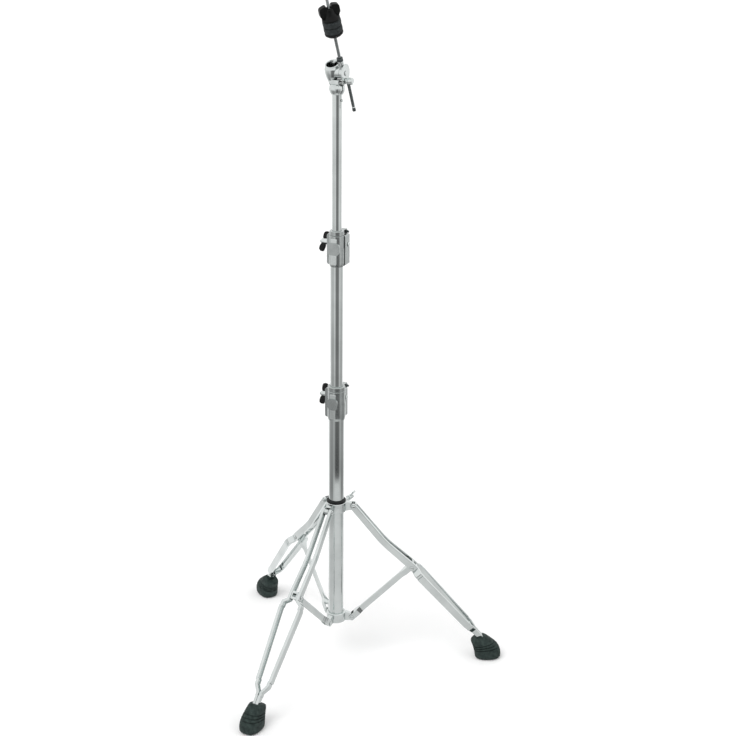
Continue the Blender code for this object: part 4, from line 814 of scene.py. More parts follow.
@dataclass
class Leg:
    """One leg with its two pressed strips, foot, brace and pins.

    Sizes that the frame doesn't give are those of the pressed strip and the moulded foot.

    Attributes:
        side: Which leg it is.
        strip_width: Width of a strip, across the leg's plane.
        strip_sheet: Thickness of its sheet.
        strip_corner: Outer radius of its folds.
        top_depth: Depth of the strip above the bend.
        low_depth: Depth of the strip below the knee.
        end_depth: Depth of the strip in the foot.
        bend_share: Place of the bend between the top pin and the knee.
        bend_drop: Distance of the bend below that line.
        lift: Distance of the strip's middle above the knee rivet.
        spread_knee: Distance of a strip from the leg's plane at the knee.
        spread_wide: That distance at its widest.
        spread_low: That distance above the neck.
        neck_radius: Distance of the neck from the pole.
        neck_height: Height of the neck.
        in_foot: Length of strip in the foot.
        foot_width: Width of the foot.
        foot_sole: Length of the foot's sole.
        groove_depth: Depth of the foot's grooves.
        fork: Length of the brace's full width from each pin.
        taper: Length over which it narrows.
        taper_steps: Steps in that narrowing.
        pinch: How far each wall of the brace moves in.
    """

    side: Side
    strip_width: float = 6.0 * MM
    strip_sheet: float = 1.5 * MM
    strip_corner: float = 1.8 * MM
    top_depth: float = 13.5 * MM
    low_depth: float = 16.0 * MM
    end_depth: float = 12.0 * MM
    bend_share: float = 0.56
    bend_drop: float = 6.0 * MM
    lift: float = 2.5 * MM
    spread_knee: float = 10.2 * MM
    spread_wide: float = 22.6 * MM
    spread_low: float = 15.0 * MM
    neck_radius: float = 305.0 * MM
    neck_height: float = 57.5 * MM
    in_foot: float = 28.0 * MM
    foot_width: float = 43.0 * MM
    foot_sole: float = 44.5 * MM
    groove_depth: float = 2.3 * MM
    fork: float = 15.0 * MM
    taper: float = 18.0 * MM
    taper_steps: int = 6
    pinch: float = 4.7 * MM

    def build(self, shop: Workshop) -> None:
        """Make the leg."""
        self.shop = shop
        self.body = f"leg_{self.side.value}"
        knee = Vector(shop.joints[f"knee_{self.side.value}"]["pos_m"])
        foot_of_pole = Vector((shop.pole.origin.x, shop.pole.origin.y, 0))
        flat = Vector((knee.x, knee.y, 0)) - foot_of_pole
        self.outward = flat.normalized()
        self.lateral = UP.cross(self.outward)
        self.middle = foot_of_pole
        self.knee = Vector((flat.length, 0, knee.z))
        low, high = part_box(f"leg_top_pin_{self.side.value}")
        pin = (low + high) / 2
        self.top = Vector(((pin - foot_of_pole).dot(self.outward), 0, pin.z))
        for letter, hand in (("a", 1), ("b", -1)):
            self.strip(letter, hand)
        shop.broken_edges(f"leg_bridge_{self.side.value}", Slot.CHROME, 0.35)
        self.foot()
        self.rivet(f"knee_rivet_{self.side.value}")
        self.rivet(f"leg_top_pin_{self.side.value}")
        self.rivet(f"brace_pin_{self.side.value}")
        self.brace()

    def place(self, point: Sequence[float]) -> Vector:
        """A point of the leg's own plane in the frame: distance out, distance sideways, height."""
        return self.middle + self.outward * point[0] + self.lateral * point[1] + UP * point[2]

    def stations(self) -> list[tuple[float, float, float, float]]:
        """Distance out, height, depth and spread of the strip's middle line, at its corners."""
        neck = Vector((self.neck_radius, 0, self.neck_height))
        along = (self.knee - self.top).normalized()
        above = Vector((-along.z, 0, along.x))
        length = (self.knee - self.top).length
        bend = self.top + along * length * self.bend_share - above * self.bend_drop
        knee = self.knee + above * self.lift
        first, second = (bend - self.top).normalized(), (knee - bend).normalized()
        down = (neck - knee).normalized()
        shin = (neck - knee).length
        spread_top = 4.7 * MM + 0.5 * MM + self.strip_width / 2
        half = self.top_depth / 2
        end_spread = self.strip_width / 2 + 0.3 * MM
        mean_spread = (spread_top + self.spread_knee) / 2
        rows = [(self.top + first * half, self.top_depth, spread_top),
                (bend - first * 9 * MM, self.top_depth + 0.5 * MM, mean_spread),
                (bend + second * 9 * MM, self.top_depth + 0.5 * MM, mean_spread),
                (knee - second * 12 * MM, self.low_depth - 0.6 * MM, self.spread_knee),
                (knee - second * 2 * MM, self.low_depth - 0.4 * MM, self.spread_knee),
                (knee + down * 6 * MM, self.low_depth, self.spread_knee),
                (knee + down * 22 * MM, self.low_depth, self.spread_wide - 1.5 * MM),
                (knee + down * 31 * MM, self.low_depth, self.spread_wide),
                (knee + down * (shin - 41 * MM), self.low_depth - 1 * MM, self.spread_low + 0.4 * MM),
                (knee + down * (shin - 31 * MM), self.low_depth - 1.5 * MM, self.spread_low - 1.6 * MM),
                (knee + down * (shin - 8 * MM), self.end_depth, end_spread + 0.8 * MM),
                (neck, self.end_depth, end_spread),
                (neck + down * self.in_foot, self.end_depth, end_spread)]
        line = rounded([(p.x, p.z, depth, spread) for p, depth, spread in rows], 7 * MM, steps=4)
        nose = []
        for turn in (-75, -55, -35, -15):
            share = math.sin(math.radians(turn))
            p = self.top + first * share * half
            nose.append((p.x, p.z, max(2 * half * math.cos(math.radians(turn)), 3.4 * MM), spread_top))
        return nose + line

    def section(self, depth: float) -> list[tuple[float, float]]:
        """Section of the pressed channel: distance along its depth, and outward from its partner."""
        h, w, t = depth / 2, self.strip_width / 2, self.strip_sheet
        c = min(self.strip_corner, h * 0.6)
        r = max(c - t, 0.3 * MM)
        outer = arc((-h + c, w - c), c, 180, 90, 4) + arc((h - c, w - c), c, 90, 0, 4)
        inner = arc((h - t - r, w - t - r), r, 0, 90, 2) + arc((-h + t + r, w - t - r), r, 90, 180, 2)
        lip = 0.3 * MM
        return ([(-h + lip, -w), (-h, -w + lip)] + outer + [(h, -w + lip), (h - lip, -w), (h - t + lip, -w),
                (h - t, -w + lip)] + inner + [(-h + t, -w + lip), (-h + t - lip, -w)])

    def strip(self, letter: str, hand: int) -> None:
        """Make one pressed strip.

        Args:
            letter: Letter of its node.
            hand: 1 on the lateral side, -1 on the other.
        """
        stations = self.stations()
        centres = [Vector((x, hand * spread, z)) for x, z, depth, spread in stations]
        rings = []
        for i, (x, z, depth, spread) in enumerate(stations):
            run = (centres[min(i + 1, len(centres) - 1)] - centres[max(i - 1, 0)]).normalized()
            deep = run.cross(Vector((0, hand, 0))).normalized()
            wide = deep.cross(run).normalized()
            if wide.y * hand < 0:
                wide = -wide
            rings.append([self.place(centres[i] + deep * a + wide * b) for a, b in self.section(depth)])
        node = f"leg_strip_{self.side.value}_{letter}"
        self.shop.lofted(f"{node}_pressed", rings, Slot.CHROME, self.body, [node], crease=50.0)

    def foot_rows(self) -> list[tuple[float, float, float, float, float]]:
        """Heel and toe points of the foot's slices from the sole up, with half widths."""
        heel = self.neck_radius + 0.5 * MM
        toe, half, top = heel + self.foot_sole, self.foot_width / 2, self.neck_height
        return [(heel, 0, toe, 0, half * 0.82),
                (heel - 3.5 * MM, 3.5 * MM, toe + 7.0 * MM, 5 * MM, half * 0.975),
                (heel - 5.0 * MM, top * 0.23, toe + 6.5 * MM, top * 0.33, half),
                (heel - 7.5 * MM, top * 0.40, toe - 1.0 * MM, top * 0.56, half * 0.93),
                (heel - 10.5 * MM, top * 0.56, toe - 14.0 * MM, top * 0.75, half * 0.84),
                (heel - 13.0 * MM, top * 0.68, toe - 25.0 * MM, top * 0.885, half * 0.745),
                (heel - 11.5 * MM, top * 0.74, toe - 29.0 * MM, top * 0.92, half * 0.63)]

    def foot_slice(self, position: float, inset: float) -> list[Vector]:
        """One slice of the foot.

        Args:
            position: Place among the rows, from 0 at the sole.
            inset: How far it is drawn in.

        Returns:
            The points of the slice.
        """
        rows = self.foot_rows()
        low = min(int(position), len(rows) - 2)
        t = position - low
        before, after = rows[max(low - 1, 0)], rows[min(low + 2, len(rows) - 1)]
        mixed = []
        for a, b, c, d in zip(before, rows[low], rows[low + 1], after):
            mixed.append(0.5 * (2 * b + (c - a) * t + (2 * a - 5 * b + 4 * c - d) * t ** 2
                                + (3 * b - a - 3 * c + d) * t ** 3))
        heel, toe, half_width = Vector((mixed[0], 0, mixed[1])), Vector((mixed[2], 0, mixed[3])), mixed[4]
        centre, reach = (heel + toe) / 2, (toe - heel).normalized()
        half_length = (toe - heel).length / 2 - inset
        ring = []
        for i in range(56):
            turn = 2 * math.pi * i / 56
            c, s = math.cos(turn), math.sin(turn)
            x = math.copysign(abs(c) ** 0.78, c) * half_length
            y = math.copysign(abs(s) ** 0.78, s) * (half_width - inset)
            ring.append(self.place(centre + reach * x + Vector((0, y, 0))))
        return ring

    def foot(self) -> None:
        """Make the moulded foot, with rounded grooves round its instep and a lip round its socket."""
        places = [(0.0, 1.0 * MM), (0.0, 0.2 * MM), (0.12, 0.0)]
        places += [(0.3 + 0.25 * i, 0.0) for i in range(9)]
        pitch, count, spread = 0.45, 3, 0.13
        for i in range(count):
            middle = 2.64 + pitch * i
            for share in (-1.0, -0.75, -0.5, -0.25, 0.0, 0.25, 0.5, 0.75, 1.0):
                depth = self.groove_depth * math.cos(share * math.pi / 2) ** 1.5
                places.append((middle + share * spread, depth))
        places += [(3.85 + 0.25 * i, 0.0) for i in range(8)]
        places += [(5.88, 0.3 * MM), (5.95, 0.9 * MM), (6.0, 2.0 * MM)]
        rings = [self.foot_slice(position, inset) for position, inset in places]
        node = f"foot_{self.side.value}"
        floor = min(point.z for point in rings[0])
        for ring in rings:
            for point in ring:
                point.z = max(point.z, floor)
        self.shop.lofted(f"{node}_moulded", rings, Slot.RUBBER, self.body, [node], crease=60.0)

    def brace(self) -> None:
        """Make the brace: a folded channel, pinched to a narrow bar between its forked ends."""
        piece = self.shop.broken_edges(f"brace_{self.side.value}", Slot.CHROME, 0.4)
        ends = []
        for node in (f"brace_pin_{self.side.value}", f"knee_rivet_{self.side.value}"):
            low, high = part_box(node)
            ends.append((low + high) / 2)
        length = (ends[1] - ends[0]).length
        along = (ends[1] - ends[0]).normalized()
        work = bmesh.new()
        work.from_mesh(piece.data)
        for step in range(self.taper_steps + 1):
            reach = self.fork + self.taper * step / self.taper_steps
            for distance in (reach, length - reach):
                bmesh.ops.bisect_plane(work, geom=work.verts[:] + work.edges[:] + work.faces[:],
                                       plane_co=ends[0] + along * distance, plane_no=along)
        for vertex in work.verts:
            offset = vertex.co - ends[0]
            distance = offset.dot(along)
            share = min(max((min(distance, length - distance) - self.fork) / self.taper, 0.0), 1.0)
            across = offset.dot(self.lateral)
            narrow = max(abs(across) - self.pinch * share * share * (3 - 2 * share), min(abs(across), 0.1 * MM))
            vertex.co += self.lateral * (math.copysign(narrow, across) - across)
        work.to_mesh(piece.data)
        work.free()

    def rivet(self, node: str) -> None:
        """Make a pin with a domed head at each end."""
        low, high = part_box(node)
        axis = Axis((low + high) / 2, self.lateral, UP)
        reach = axis.extent(self.shop.node(node))
        head, shank, height = reach.outer, 2.5 * MM, 2.0 * MM
        dome = [(0.0, reach.end)]
        for turn in (75, 60, 45, 30, 15):
            angle = math.radians(turn)
            dome.append((head * 0.96 * math.cos(angle), reach.end - height * 0.75 * (1 - math.sin(angle))))
        under = reach.end - height
        dome += [(head, under + height * 0.22), (head, under + 0.15 * MM), (head - 0.2 * MM, under), (shank, under)]
        outline = dome + [(r, -d) for r, d in reversed(dome)]
        self.shop.turned(f"{node}_headed", outline, axis, Slot.CHROME, self.shop.bodies[node], [node], sides=28,
                         crease=50.0)


@dataclass
class HeightClamp:
    """One height clamp: cast body, bush, cross bolt, wing nut and keyed memory lock.

    Attributes:
        name: Its nodes' common name.
        nut_joint: The joint that its wing nut turns on.
        bolt_radius: Radius of the cross bolt.
        nut_length: Length of the nut's hub.
        lobe_start: Distance of the wings from the hub's inner face.
        wing_span: Distance between the wing tips.
        lobe_height: Height of a wing.
        lobe_thickness: Thickness of the moulded grip on a wing.
        panel_width: Width of the flat panel down the body's front.
        panel_tilt: Lean of that panel from the vertical, in degrees.
    """

    name: str
    nut_joint: str
    bolt_radius: float = 3.0 * MM
    nut_length: float = 17.0 * MM
    lobe_start: float = 5.0 * MM
    wing_span: float = 44.0 * MM
    lobe_height: float = 12.0 * MM
    lobe_thickness: float = 7.0 * MM
    panel_width: float = 13.0 * MM
    panel_tilt: float = 1.6

    def build(self, shop: Workshop) -> None:
        """Make the clamp."""
        for node, edge in ((self.name, 1.0), (f"{self.name}_lock", 0.6)):
            shop.refinish(shop.broken_edges(node, Slot.CASTING, edge, steps=3), SATIN_ZINC)
        self.panel(shop)
        shop.broken_edges(f"{self.name}_bush", Slot.NYLON, 0.3)
        shop.broken_edges(f"{self.name}_lock_key_bolt", Slot.DARK_STEEL, 0.3)
        node = shop.node(f"{self.name}_wing_nut")
        rough = shop.joint_axis(self.nut_joint, UP)
        axis = Axis(rough.origin, rough.along, self.wing_side(rough, node))
        self.bolt(shop, axis)
        self.nut(shop, axis)

    def panel(self, shop: Workshop) -> None:
        """Make the flat panel that the raised pad stands on, down the front of the cast body."""
        low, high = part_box(self.name)
        across = Vector(shop.joints[self.nut_joint]["axis"]).normalized() * -1
        ahead = across.cross(UP)
        middle = Axis(Vector((shop.pole.origin.x, shop.pole.origin.y, (low.z + high.z) / 2)), UP, across)
        barrel = 0.0
        for vertex in shop.node(self.name).data.vertices:
            offset = vertex.co - middle.origin
            if abs(offset.dot(across)) < 6 * MM and offset.z < -22 * MM:
                barrel = max(barrel, offset.dot(ahead))
        half, tall = self.panel_width / 2, (high.z - low.z) / 2 - 5 * MM
        outline = rounded([(-half, -tall), (half, -tall), (half, tall), (-half, tall)], 2.5 * MM, closed=True)
        turn = Matrix((across, UP, ahead * -1)).transposed().to_4x4()
        lean = Matrix.Rotation(math.radians(self.panel_tilt), 4, "X")
        place = Matrix.Translation(middle.origin + ahead * (barrel - 1.2 * MM)) @ turn @ lean
        work = bmesh.new()
        shop.slab(outline, 3.0 * MM, place, 0.7 * MM, work, steps=3)
        shop.finish_piece(f"{self.name}_front_panel", shop.mesh_of(f"{self.name}_front_panel", work),
                          Slot.CASTING, shop.bodies[self.name])

    def wing_side(self, axis: Axis, node: bpy.types.Object) -> Vector:
        """The direction in which the nut's wings reach, from its furthest vertex."""
        best, reach = axis.side, 0.0
        for vertex in node.data.vertices:
            offset = vertex.co - axis.origin
            flat = offset - axis.along * offset.dot(axis.along)
            if flat.z > 0 and flat.length > reach:
                best, reach = flat.normalized(), flat.length
        return best

    def bolt(self, shop: Workshop, axis: Axis) -> None:
        """Make the cross bolt, threaded at the nut's end, with a pan head at the other."""
        node = f"{self.name}_bolt"
        reach = axis.extent(shop.node(node))
        shank = self.bolt_radius
        thread = Thread(1.0 * MM, 0.55 * MM, -2 * MM, reach.end - 0.8 * MM, shank)
        under = reach.start + 4 * MM
        face = under - 1.8 * MM
        outline = [(0, face)] + rounded([(0, face), (reach.outer * 0.7, face), (reach.outer, face + 1.0 * MM),
                                         (reach.outer, under), (shank, under)], 0.6 * MM)[1:]
        outline += [(shank, d) for d in thread.stations()]
        outline += [(shank - 0.6 * MM, reach.end), (0, reach.end)]
        shop.turned(f"{node}_threaded", outline, axis, Slot.CHROME, shop.bodies[node], [node], sides=32,
                    shape=thread.cut)

    def nut(self, shop: Workshop, axis: Axis) -> None:
        """Make the plated hub of the wing nut and the two moulded grips on its wings."""
        node = f"{self.name}_wing_nut"
        body = shop.bodies[node]
        bore = self.bolt_radius + 0.3 * MM
        outline = rounded([(bore, self.nut_length), (5.4 * MM, self.nut_length), (6.2 * MM, self.lobe_start + 3 * MM),
                           (6.4 * MM, self.lobe_start - 1 * MM), (7 * MM, 2.2 * MM), (7 * MM, 0), (bore, 0)],
                          0.7 * MM, closed=True)
        hub = shop.turned(f"{node}_hub", outline, axis, Slot.CHROME, body, [node], sides=36, ring=True)
        work = bmesh.new()
        half = self.wing_span / 2
        lobe = self.lobe_height / 2
        for hand in (1, -1):
            across = axis.side * hand
            third = across.cross(axis.along)
            turn = Matrix((across, axis.along, third)).transposed().to_4x4()
            place = Matrix.Translation(axis.point(self.lobe_start)) @ turn
            grip = rounded([(5.0 * MM, 1.0 * MM), (half - 8 * MM, 0.6 * MM), (half - 0.8 * MM, 1.6 * MM),
                            (half, lobe + 0.5 * MM), (half - 1.8 * MM, self.lobe_height - 0.4 * MM),
                            (half - 9 * MM, self.lobe_height + 0.6 * MM), (5.0 * MM, self.lobe_height * 0.9)],
                           3.2 * MM, closed=True)
            shop.slab(grip, self.lobe_thickness, place, 2.0 * MM, work, steps=4)
        grips = shop.finish_piece(f"{node}_grips", shop.mesh_of(f"{node}_grips", work), Slot.WING, body, (), 45.0)
        LOG.info("nut of %s: %s and %s", self.name, hub.name, grips.name)


@dataclass
class TilterHousing:
    """The cast housing of the tilter: an open cup beside the rod holder, on a neck over the tube.

    Heights are measured from the tilt axis.

    Attributes:
        cup_offset: Distance of the cup's axis from the tilt axis' origin, along the tilt axis.
        mouth: Distance of the cup's slanted mouth from the tilt axis.
        lean: Slant of the mouth, in degrees.
        wall: Wall of the cup.
        face: Distance of the flat joint face along the tilt axis.
        face_radius: Radius of the joint face.
        top: Height of the neck's top.
        bottom: Height of its bottom.
        neck_radius: Greatest radius of the neck.
        seam: Direction of the casting's parting line on the neck, in degrees from the world's X.
    """

    cup_offset: float = -10.5 * MM
    mouth: float = 15.0 * MM
    lean: float = 26.0
    wall: float = 2.4 * MM
    face: float = 7.9 * MM
    face_radius: float = 10.4 * MM
    top: float = -21.0 * MM
    bottom: float = -41.0 * MM
    neck_radius: float = 15.5 * MM
    seam: float = -75.0

    def build(self, shop: Workshop) -> None:
        """Make the housing."""
        self.tilt = shop.joint_axis("rod_tilt", UP)
        self.cup(shop)
        self.joint_face(shop)
        self.shelf(shop)
        self.neck(shop)

    def outer(self) -> list[tuple[float, float]]:
        """Radius and height of the cup's outside, from its foot up to its rim."""
        return [(r * MM, z * MM) for r, z in ((3.6, -24.0), (5.2, -21.5), (7.4, -17.0), (11.3, -9.0),
                                              (13.9, -1.0), (14.6, 5.0), (13.9, 16.7))]

    def radius_at(self, height: float) -> float:
        """Radius of the cup's outside at a height."""
        rows = self.outer()
        for (r, z), (s, y) in zip(rows, rows[1:]):
            if height <= y:
                return r + (s - r) * max(height - z, 0.0) / (y - z)
        return rows[-1][0]

    def cup(self, shop: Workshop) -> None:
        """Make the cup. Its wall is moved up or down with height, so that its mouth slants."""
        axis = Axis(self.tilt.point(self.cup_offset), UP, self.tilt.along)
        rows = self.outer()
        rim = rows[-1][1]
        outside = rounded([(0, rows[0][1])] + rows, 3.0 * MM, steps=4)[:-1]
        well = rounded([(rows[-1][0] - self.wall, 14 * MM), (12.2 * MM, 5 * MM), (8.2 * MM, -5 * MM), (0, -5 * MM)],
                       2.0 * MM, steps=4)
        lip = rounded([(rows[-1][0], rim - 1.6 * MM), (rows[-1][0], rim), (rows[-1][0] - self.wall, rim), well[0]],
                      0.9 * MM, steps=4)
        piece = shop.turned("tilter_cup", outside + lip + well[1:], axis, Slot.CASTING, "tilter",
                            ["tilter_housing"], sides=96, crease=60.0)
        # Painted shade: the well's faces take a near-black metal that stands for the shade inside the cup.
        shop.refinish(piece, CUP_WELL_SHADE, 96 * (len(outside) + len(lip)))
        across = UP.cross(self.tilt.along)
        tilt = math.radians(self.lean)
        for vertex in piece.data.vertices:
            offset = vertex.co - axis.origin
            share = min(max((offset.z - 5 * MM) / (9.5 * MM), 0.0), 1.0)
            rim_here = (self.mouth + offset.dot(across) * math.sin(tilt)) / math.cos(tilt)
            vertex.co.z += share * (rim_here - rim)
        piece.data.update()

    def joint_face(self, shop: Workshop) -> None:
        """Make the round boss from the cup's wall to the face that the rod holder turns on."""
        r = self.face_radius - 0.1 * MM
        outline = rounded([(0, self.face), (r, self.face), (r, 1 * MM), (r, 0.5 * MM), (0, 0)], 0.8 * MM)
        outline += [(0, 0)] if outline[-1] != (0, 0) else []
        piece = shop.turned("tilter_joint_face", outline, self.tilt, Slot.CASTING, "tilter", sides=64)
        across = UP.cross(self.tilt.along)
        for vertex in piece.data.vertices:
            offset = vertex.co - self.tilt.origin
            reach = offset.dot(self.tilt.along)
            if reach < 2 * MM:
                inside = self.radius_at(offset.z) - self.wall / 2
                chord = math.sqrt(max(inside ** 2 - offset.dot(across) ** 2, 0.0))
                vertex.co += self.tilt.along * (self.cup_offset + chord - reach)
        piece.data.update()

    def shelf(self, shop: Workshop) -> None:
        """Make the block below the rod holder that takes the lever's screw."""
        half, length = 8.5 * MM, 22 * MM
        across = UP.cross(self.tilt.along)
        outline = rounded([(-length, -half), (0, -half), (0, half), (-length, half)], 2.5 * MM, closed=True)
        turn = Matrix((self.tilt.along, across, UP)).transposed().to_4x4()
        middle = self.tilt.point(self.face) + UP * (self.top + 3.5 * MM)
        work = bmesh.new()
        shop.slab(outline, 9 * MM, Matrix.Translation(middle) @ turn, 1.0 * MM, work, steps=3)
        shop.finish_piece("tilter_shelf", shop.mesh_of("tilter_shelf", work), Slot.CASTING, "tilter")

    def neck(self, shop: Workshop) -> None:
        """Make the neck, with its parting line as a fine groove."""
        origin = Vector((shop.pole.origin.x, shop.pole.origin.y, self.tilt.origin.z))
        axis = Axis(origin, UP, Vector((1, 0, 0)))
        tube = shop.pole.extent(shop.node("upper_tube"))
        bore, tube_end = tube.outer + 0.3 * MM, tube.end - origin.z + 0.2 * MM
        LOG.info("neck: top %.1f mm, tube end %.1f mm", self.top / MM, tube_end / MM)
        wide = self.neck_radius
        outline = rounded([(0, self.top), (wide - 3.6 * MM, self.top), (wide - 1.2 * MM, self.top - 2.6 * MM),
                           (wide - 0.2 * MM, self.top - 7 * MM), (wide, self.bottom + 9 * MM),
                           (wide - 2.2 * MM, self.bottom + 3 * MM), (wide - 4.4 * MM, self.bottom),
                           (bore, self.bottom), (bore, tube_end), (0, tube_end)], 1.2 * MM)
        outline = self.filled(outline, 1.2 * MM)

        def grooved(radius: float, distance: float, turn: float) -> float:
            """Radius of the neck, less the groove of its parting line."""
            away = abs((math.degrees(turn) - self.seam + 90) % 180 - 90)
            return radius - 0.5 * MM * max(1 - away / 3.2, 0.0) if radius > bore + 1 * MM else radius

        shop.turned("tilter_neck", outline, axis, Slot.CASTING, "tilter", sides=192, crease=28.0, shape=grooved)

    @staticmethod
    def filled(outline: Sequence[Sequence[float]], step: float) -> list[tuple[float, ...]]:
        """Add points along an outline's long runs."""
        made = []
        for here, ahead in zip(outline, outline[1:]):
            count = max(int((Vector(ahead) - Vector(here)).length / step), 1)
            made += [tuple(Vector(here).lerp(Vector(ahead), k / count)) for k in range(count)]
        return made + [tuple(outline[-1])]


@dataclass
class Tilter:
    """The tilter: cast housing and cheek, rod holder, axle, and the lever that locks it.

    Attributes:
        splay: Angle of the lever's arm from the vertical, in degrees.
        arm_root: Radius of the arm at its hub.
        arm_tip: Radius of the arm at its tip.
        reach: Length of the arm below the lever's screw.
        hub_radius: Radius of the lever's hub.
        hub_length: Length of the hub.
        root: Distance of the arm from the cheek's face, along the screw.
    """

    splay: float = 14.0
    arm_root: float = 3.3 * MM
    arm_tip: float = 2.9 * MM
    reach: float = 55.0 * MM
    hub_radius: float = 6.8 * MM
    hub_length: float = 9.0 * MM
    root: float = 4.3 * MM

    def build(self, shop: Workshop) -> None:
        """Make the tilter."""
        TilterHousing().build(shop)
        shop.broken_edges("tilter_cheek", Slot.CASTING, 0.5, steps=3)
        shop.broken_edges("rod_holder", Slot.CASTING, 0.6, steps=3)
        self.axle(shop)
        self.lever(shop)

    def axle(self, shop: Workshop) -> None:
        """Make the cross axle with its domed head."""
        axis = shop.joint_axis("rod_tilt", UP)
        reach = axis.extent(shop.node("tilter_axle"))
        shank, head = 3.0 * MM, 1.8 * MM
        under = reach.end - head
        outline = rounded([(0, reach.end), (reach.outer * 0.7, reach.end - 0.2 * MM), (reach.outer, under + 0.7 * MM),
                           (reach.outer, under), (shank, under), (shank, reach.start), (0, reach.start)], 0.5 * MM)
        shop.turned("tilter_axle_headed", outline, axis, Slot.CHROME, "tilter", ["tilter_axle"], sides=32)

    def lever(self, shop: Workshop) -> None:
        """Make the lever: a plated hub on its screw, a black arm, and a ring and a cap at the arm's tip."""
        axis = shop.joint_axis("lever_turn", UP)
        reach = axis.extent(shop.node("tilter_lever"))
        cheek = axis.extent(shop.node("tilter_cheek")).end + 0.3 * MM
        hub_end = self.hub_end(shop, axis)
        hub_start = hub_end - self.hub_length
        r = self.hub_radius
        outline = rounded([(0, hub_end), (r - 1.2 * MM, hub_end), (r, hub_end - 1.2 * MM), (r, hub_start + 1 * MM),
                           (r - 1 * MM, hub_start), (5.4 * MM, hub_start), (5.4 * MM, cheek), (3 * MM, cheek),
                           (3 * MM, reach.start), (0, reach.start)], 0.7 * MM)
        shop.turned("tilter_lever_hub", outline, axis, Slot.CHROME, "lever", ["tilter_lever"], sides=40)
        tilt = math.radians(self.splay)
        along = (axis.along * math.sin(tilt) - UP * math.cos(tilt)).normalized()
        arm = Axis(axis.point(cheek + self.root), along, square_to(along, axis.along))
        above = (self.root - self.arm_root * math.cos(tilt)) / math.sin(tilt)
        ring, cap = self.reach - 5.0 * MM, self.reach - 3.4 * MM
        shaft = rounded([(0, -above), (self.arm_root - 0.5 * MM, -above), (self.arm_root, -above + 1 * MM),
                         (self.arm_root * 0.92, 14 * MM), (self.arm_tip, ring), (0, ring)], 2 * MM)
        shop.turned("tilter_lever_arm", shaft, arm, Slot.DARK_STEEL, "lever", sides=32)
        band = rounded([(0, cap), (3.3 * MM, cap), (3.3 * MM, ring - 0.2 * MM), (0, ring - 0.2 * MM)], 0.3 * MM)
        shop.turned("tilter_lever_ring", band, arm, Slot.CHROME, "lever", sides=32)
        end = self.reach + 3.5 * MM
        tip = rounded([(0, end), (2.6 * MM, end), (3.4 * MM, end - 1.4 * MM), (3.5 * MM, cap), (0, cap)], 0.9 * MM)
        shop.turned("tilter_lever_cap", tip, arm, Slot.DARK_STEEL, "lever", sides=32)

    def hub_end(self, shop: Workshop, axis: Axis) -> float:
        """Distance along the screw to the hub's outer face, from the lever's vertices above the arm."""
        distances = []
        for vertex in shop.node("tilter_lever").data.vertices:
            offset = vertex.co - axis.origin
            if (offset - axis.along * offset.dot(axis.along)).length < self.hub_radius * 1.02:
                distances.append(offset.dot(axis.along))
        return max(distances)


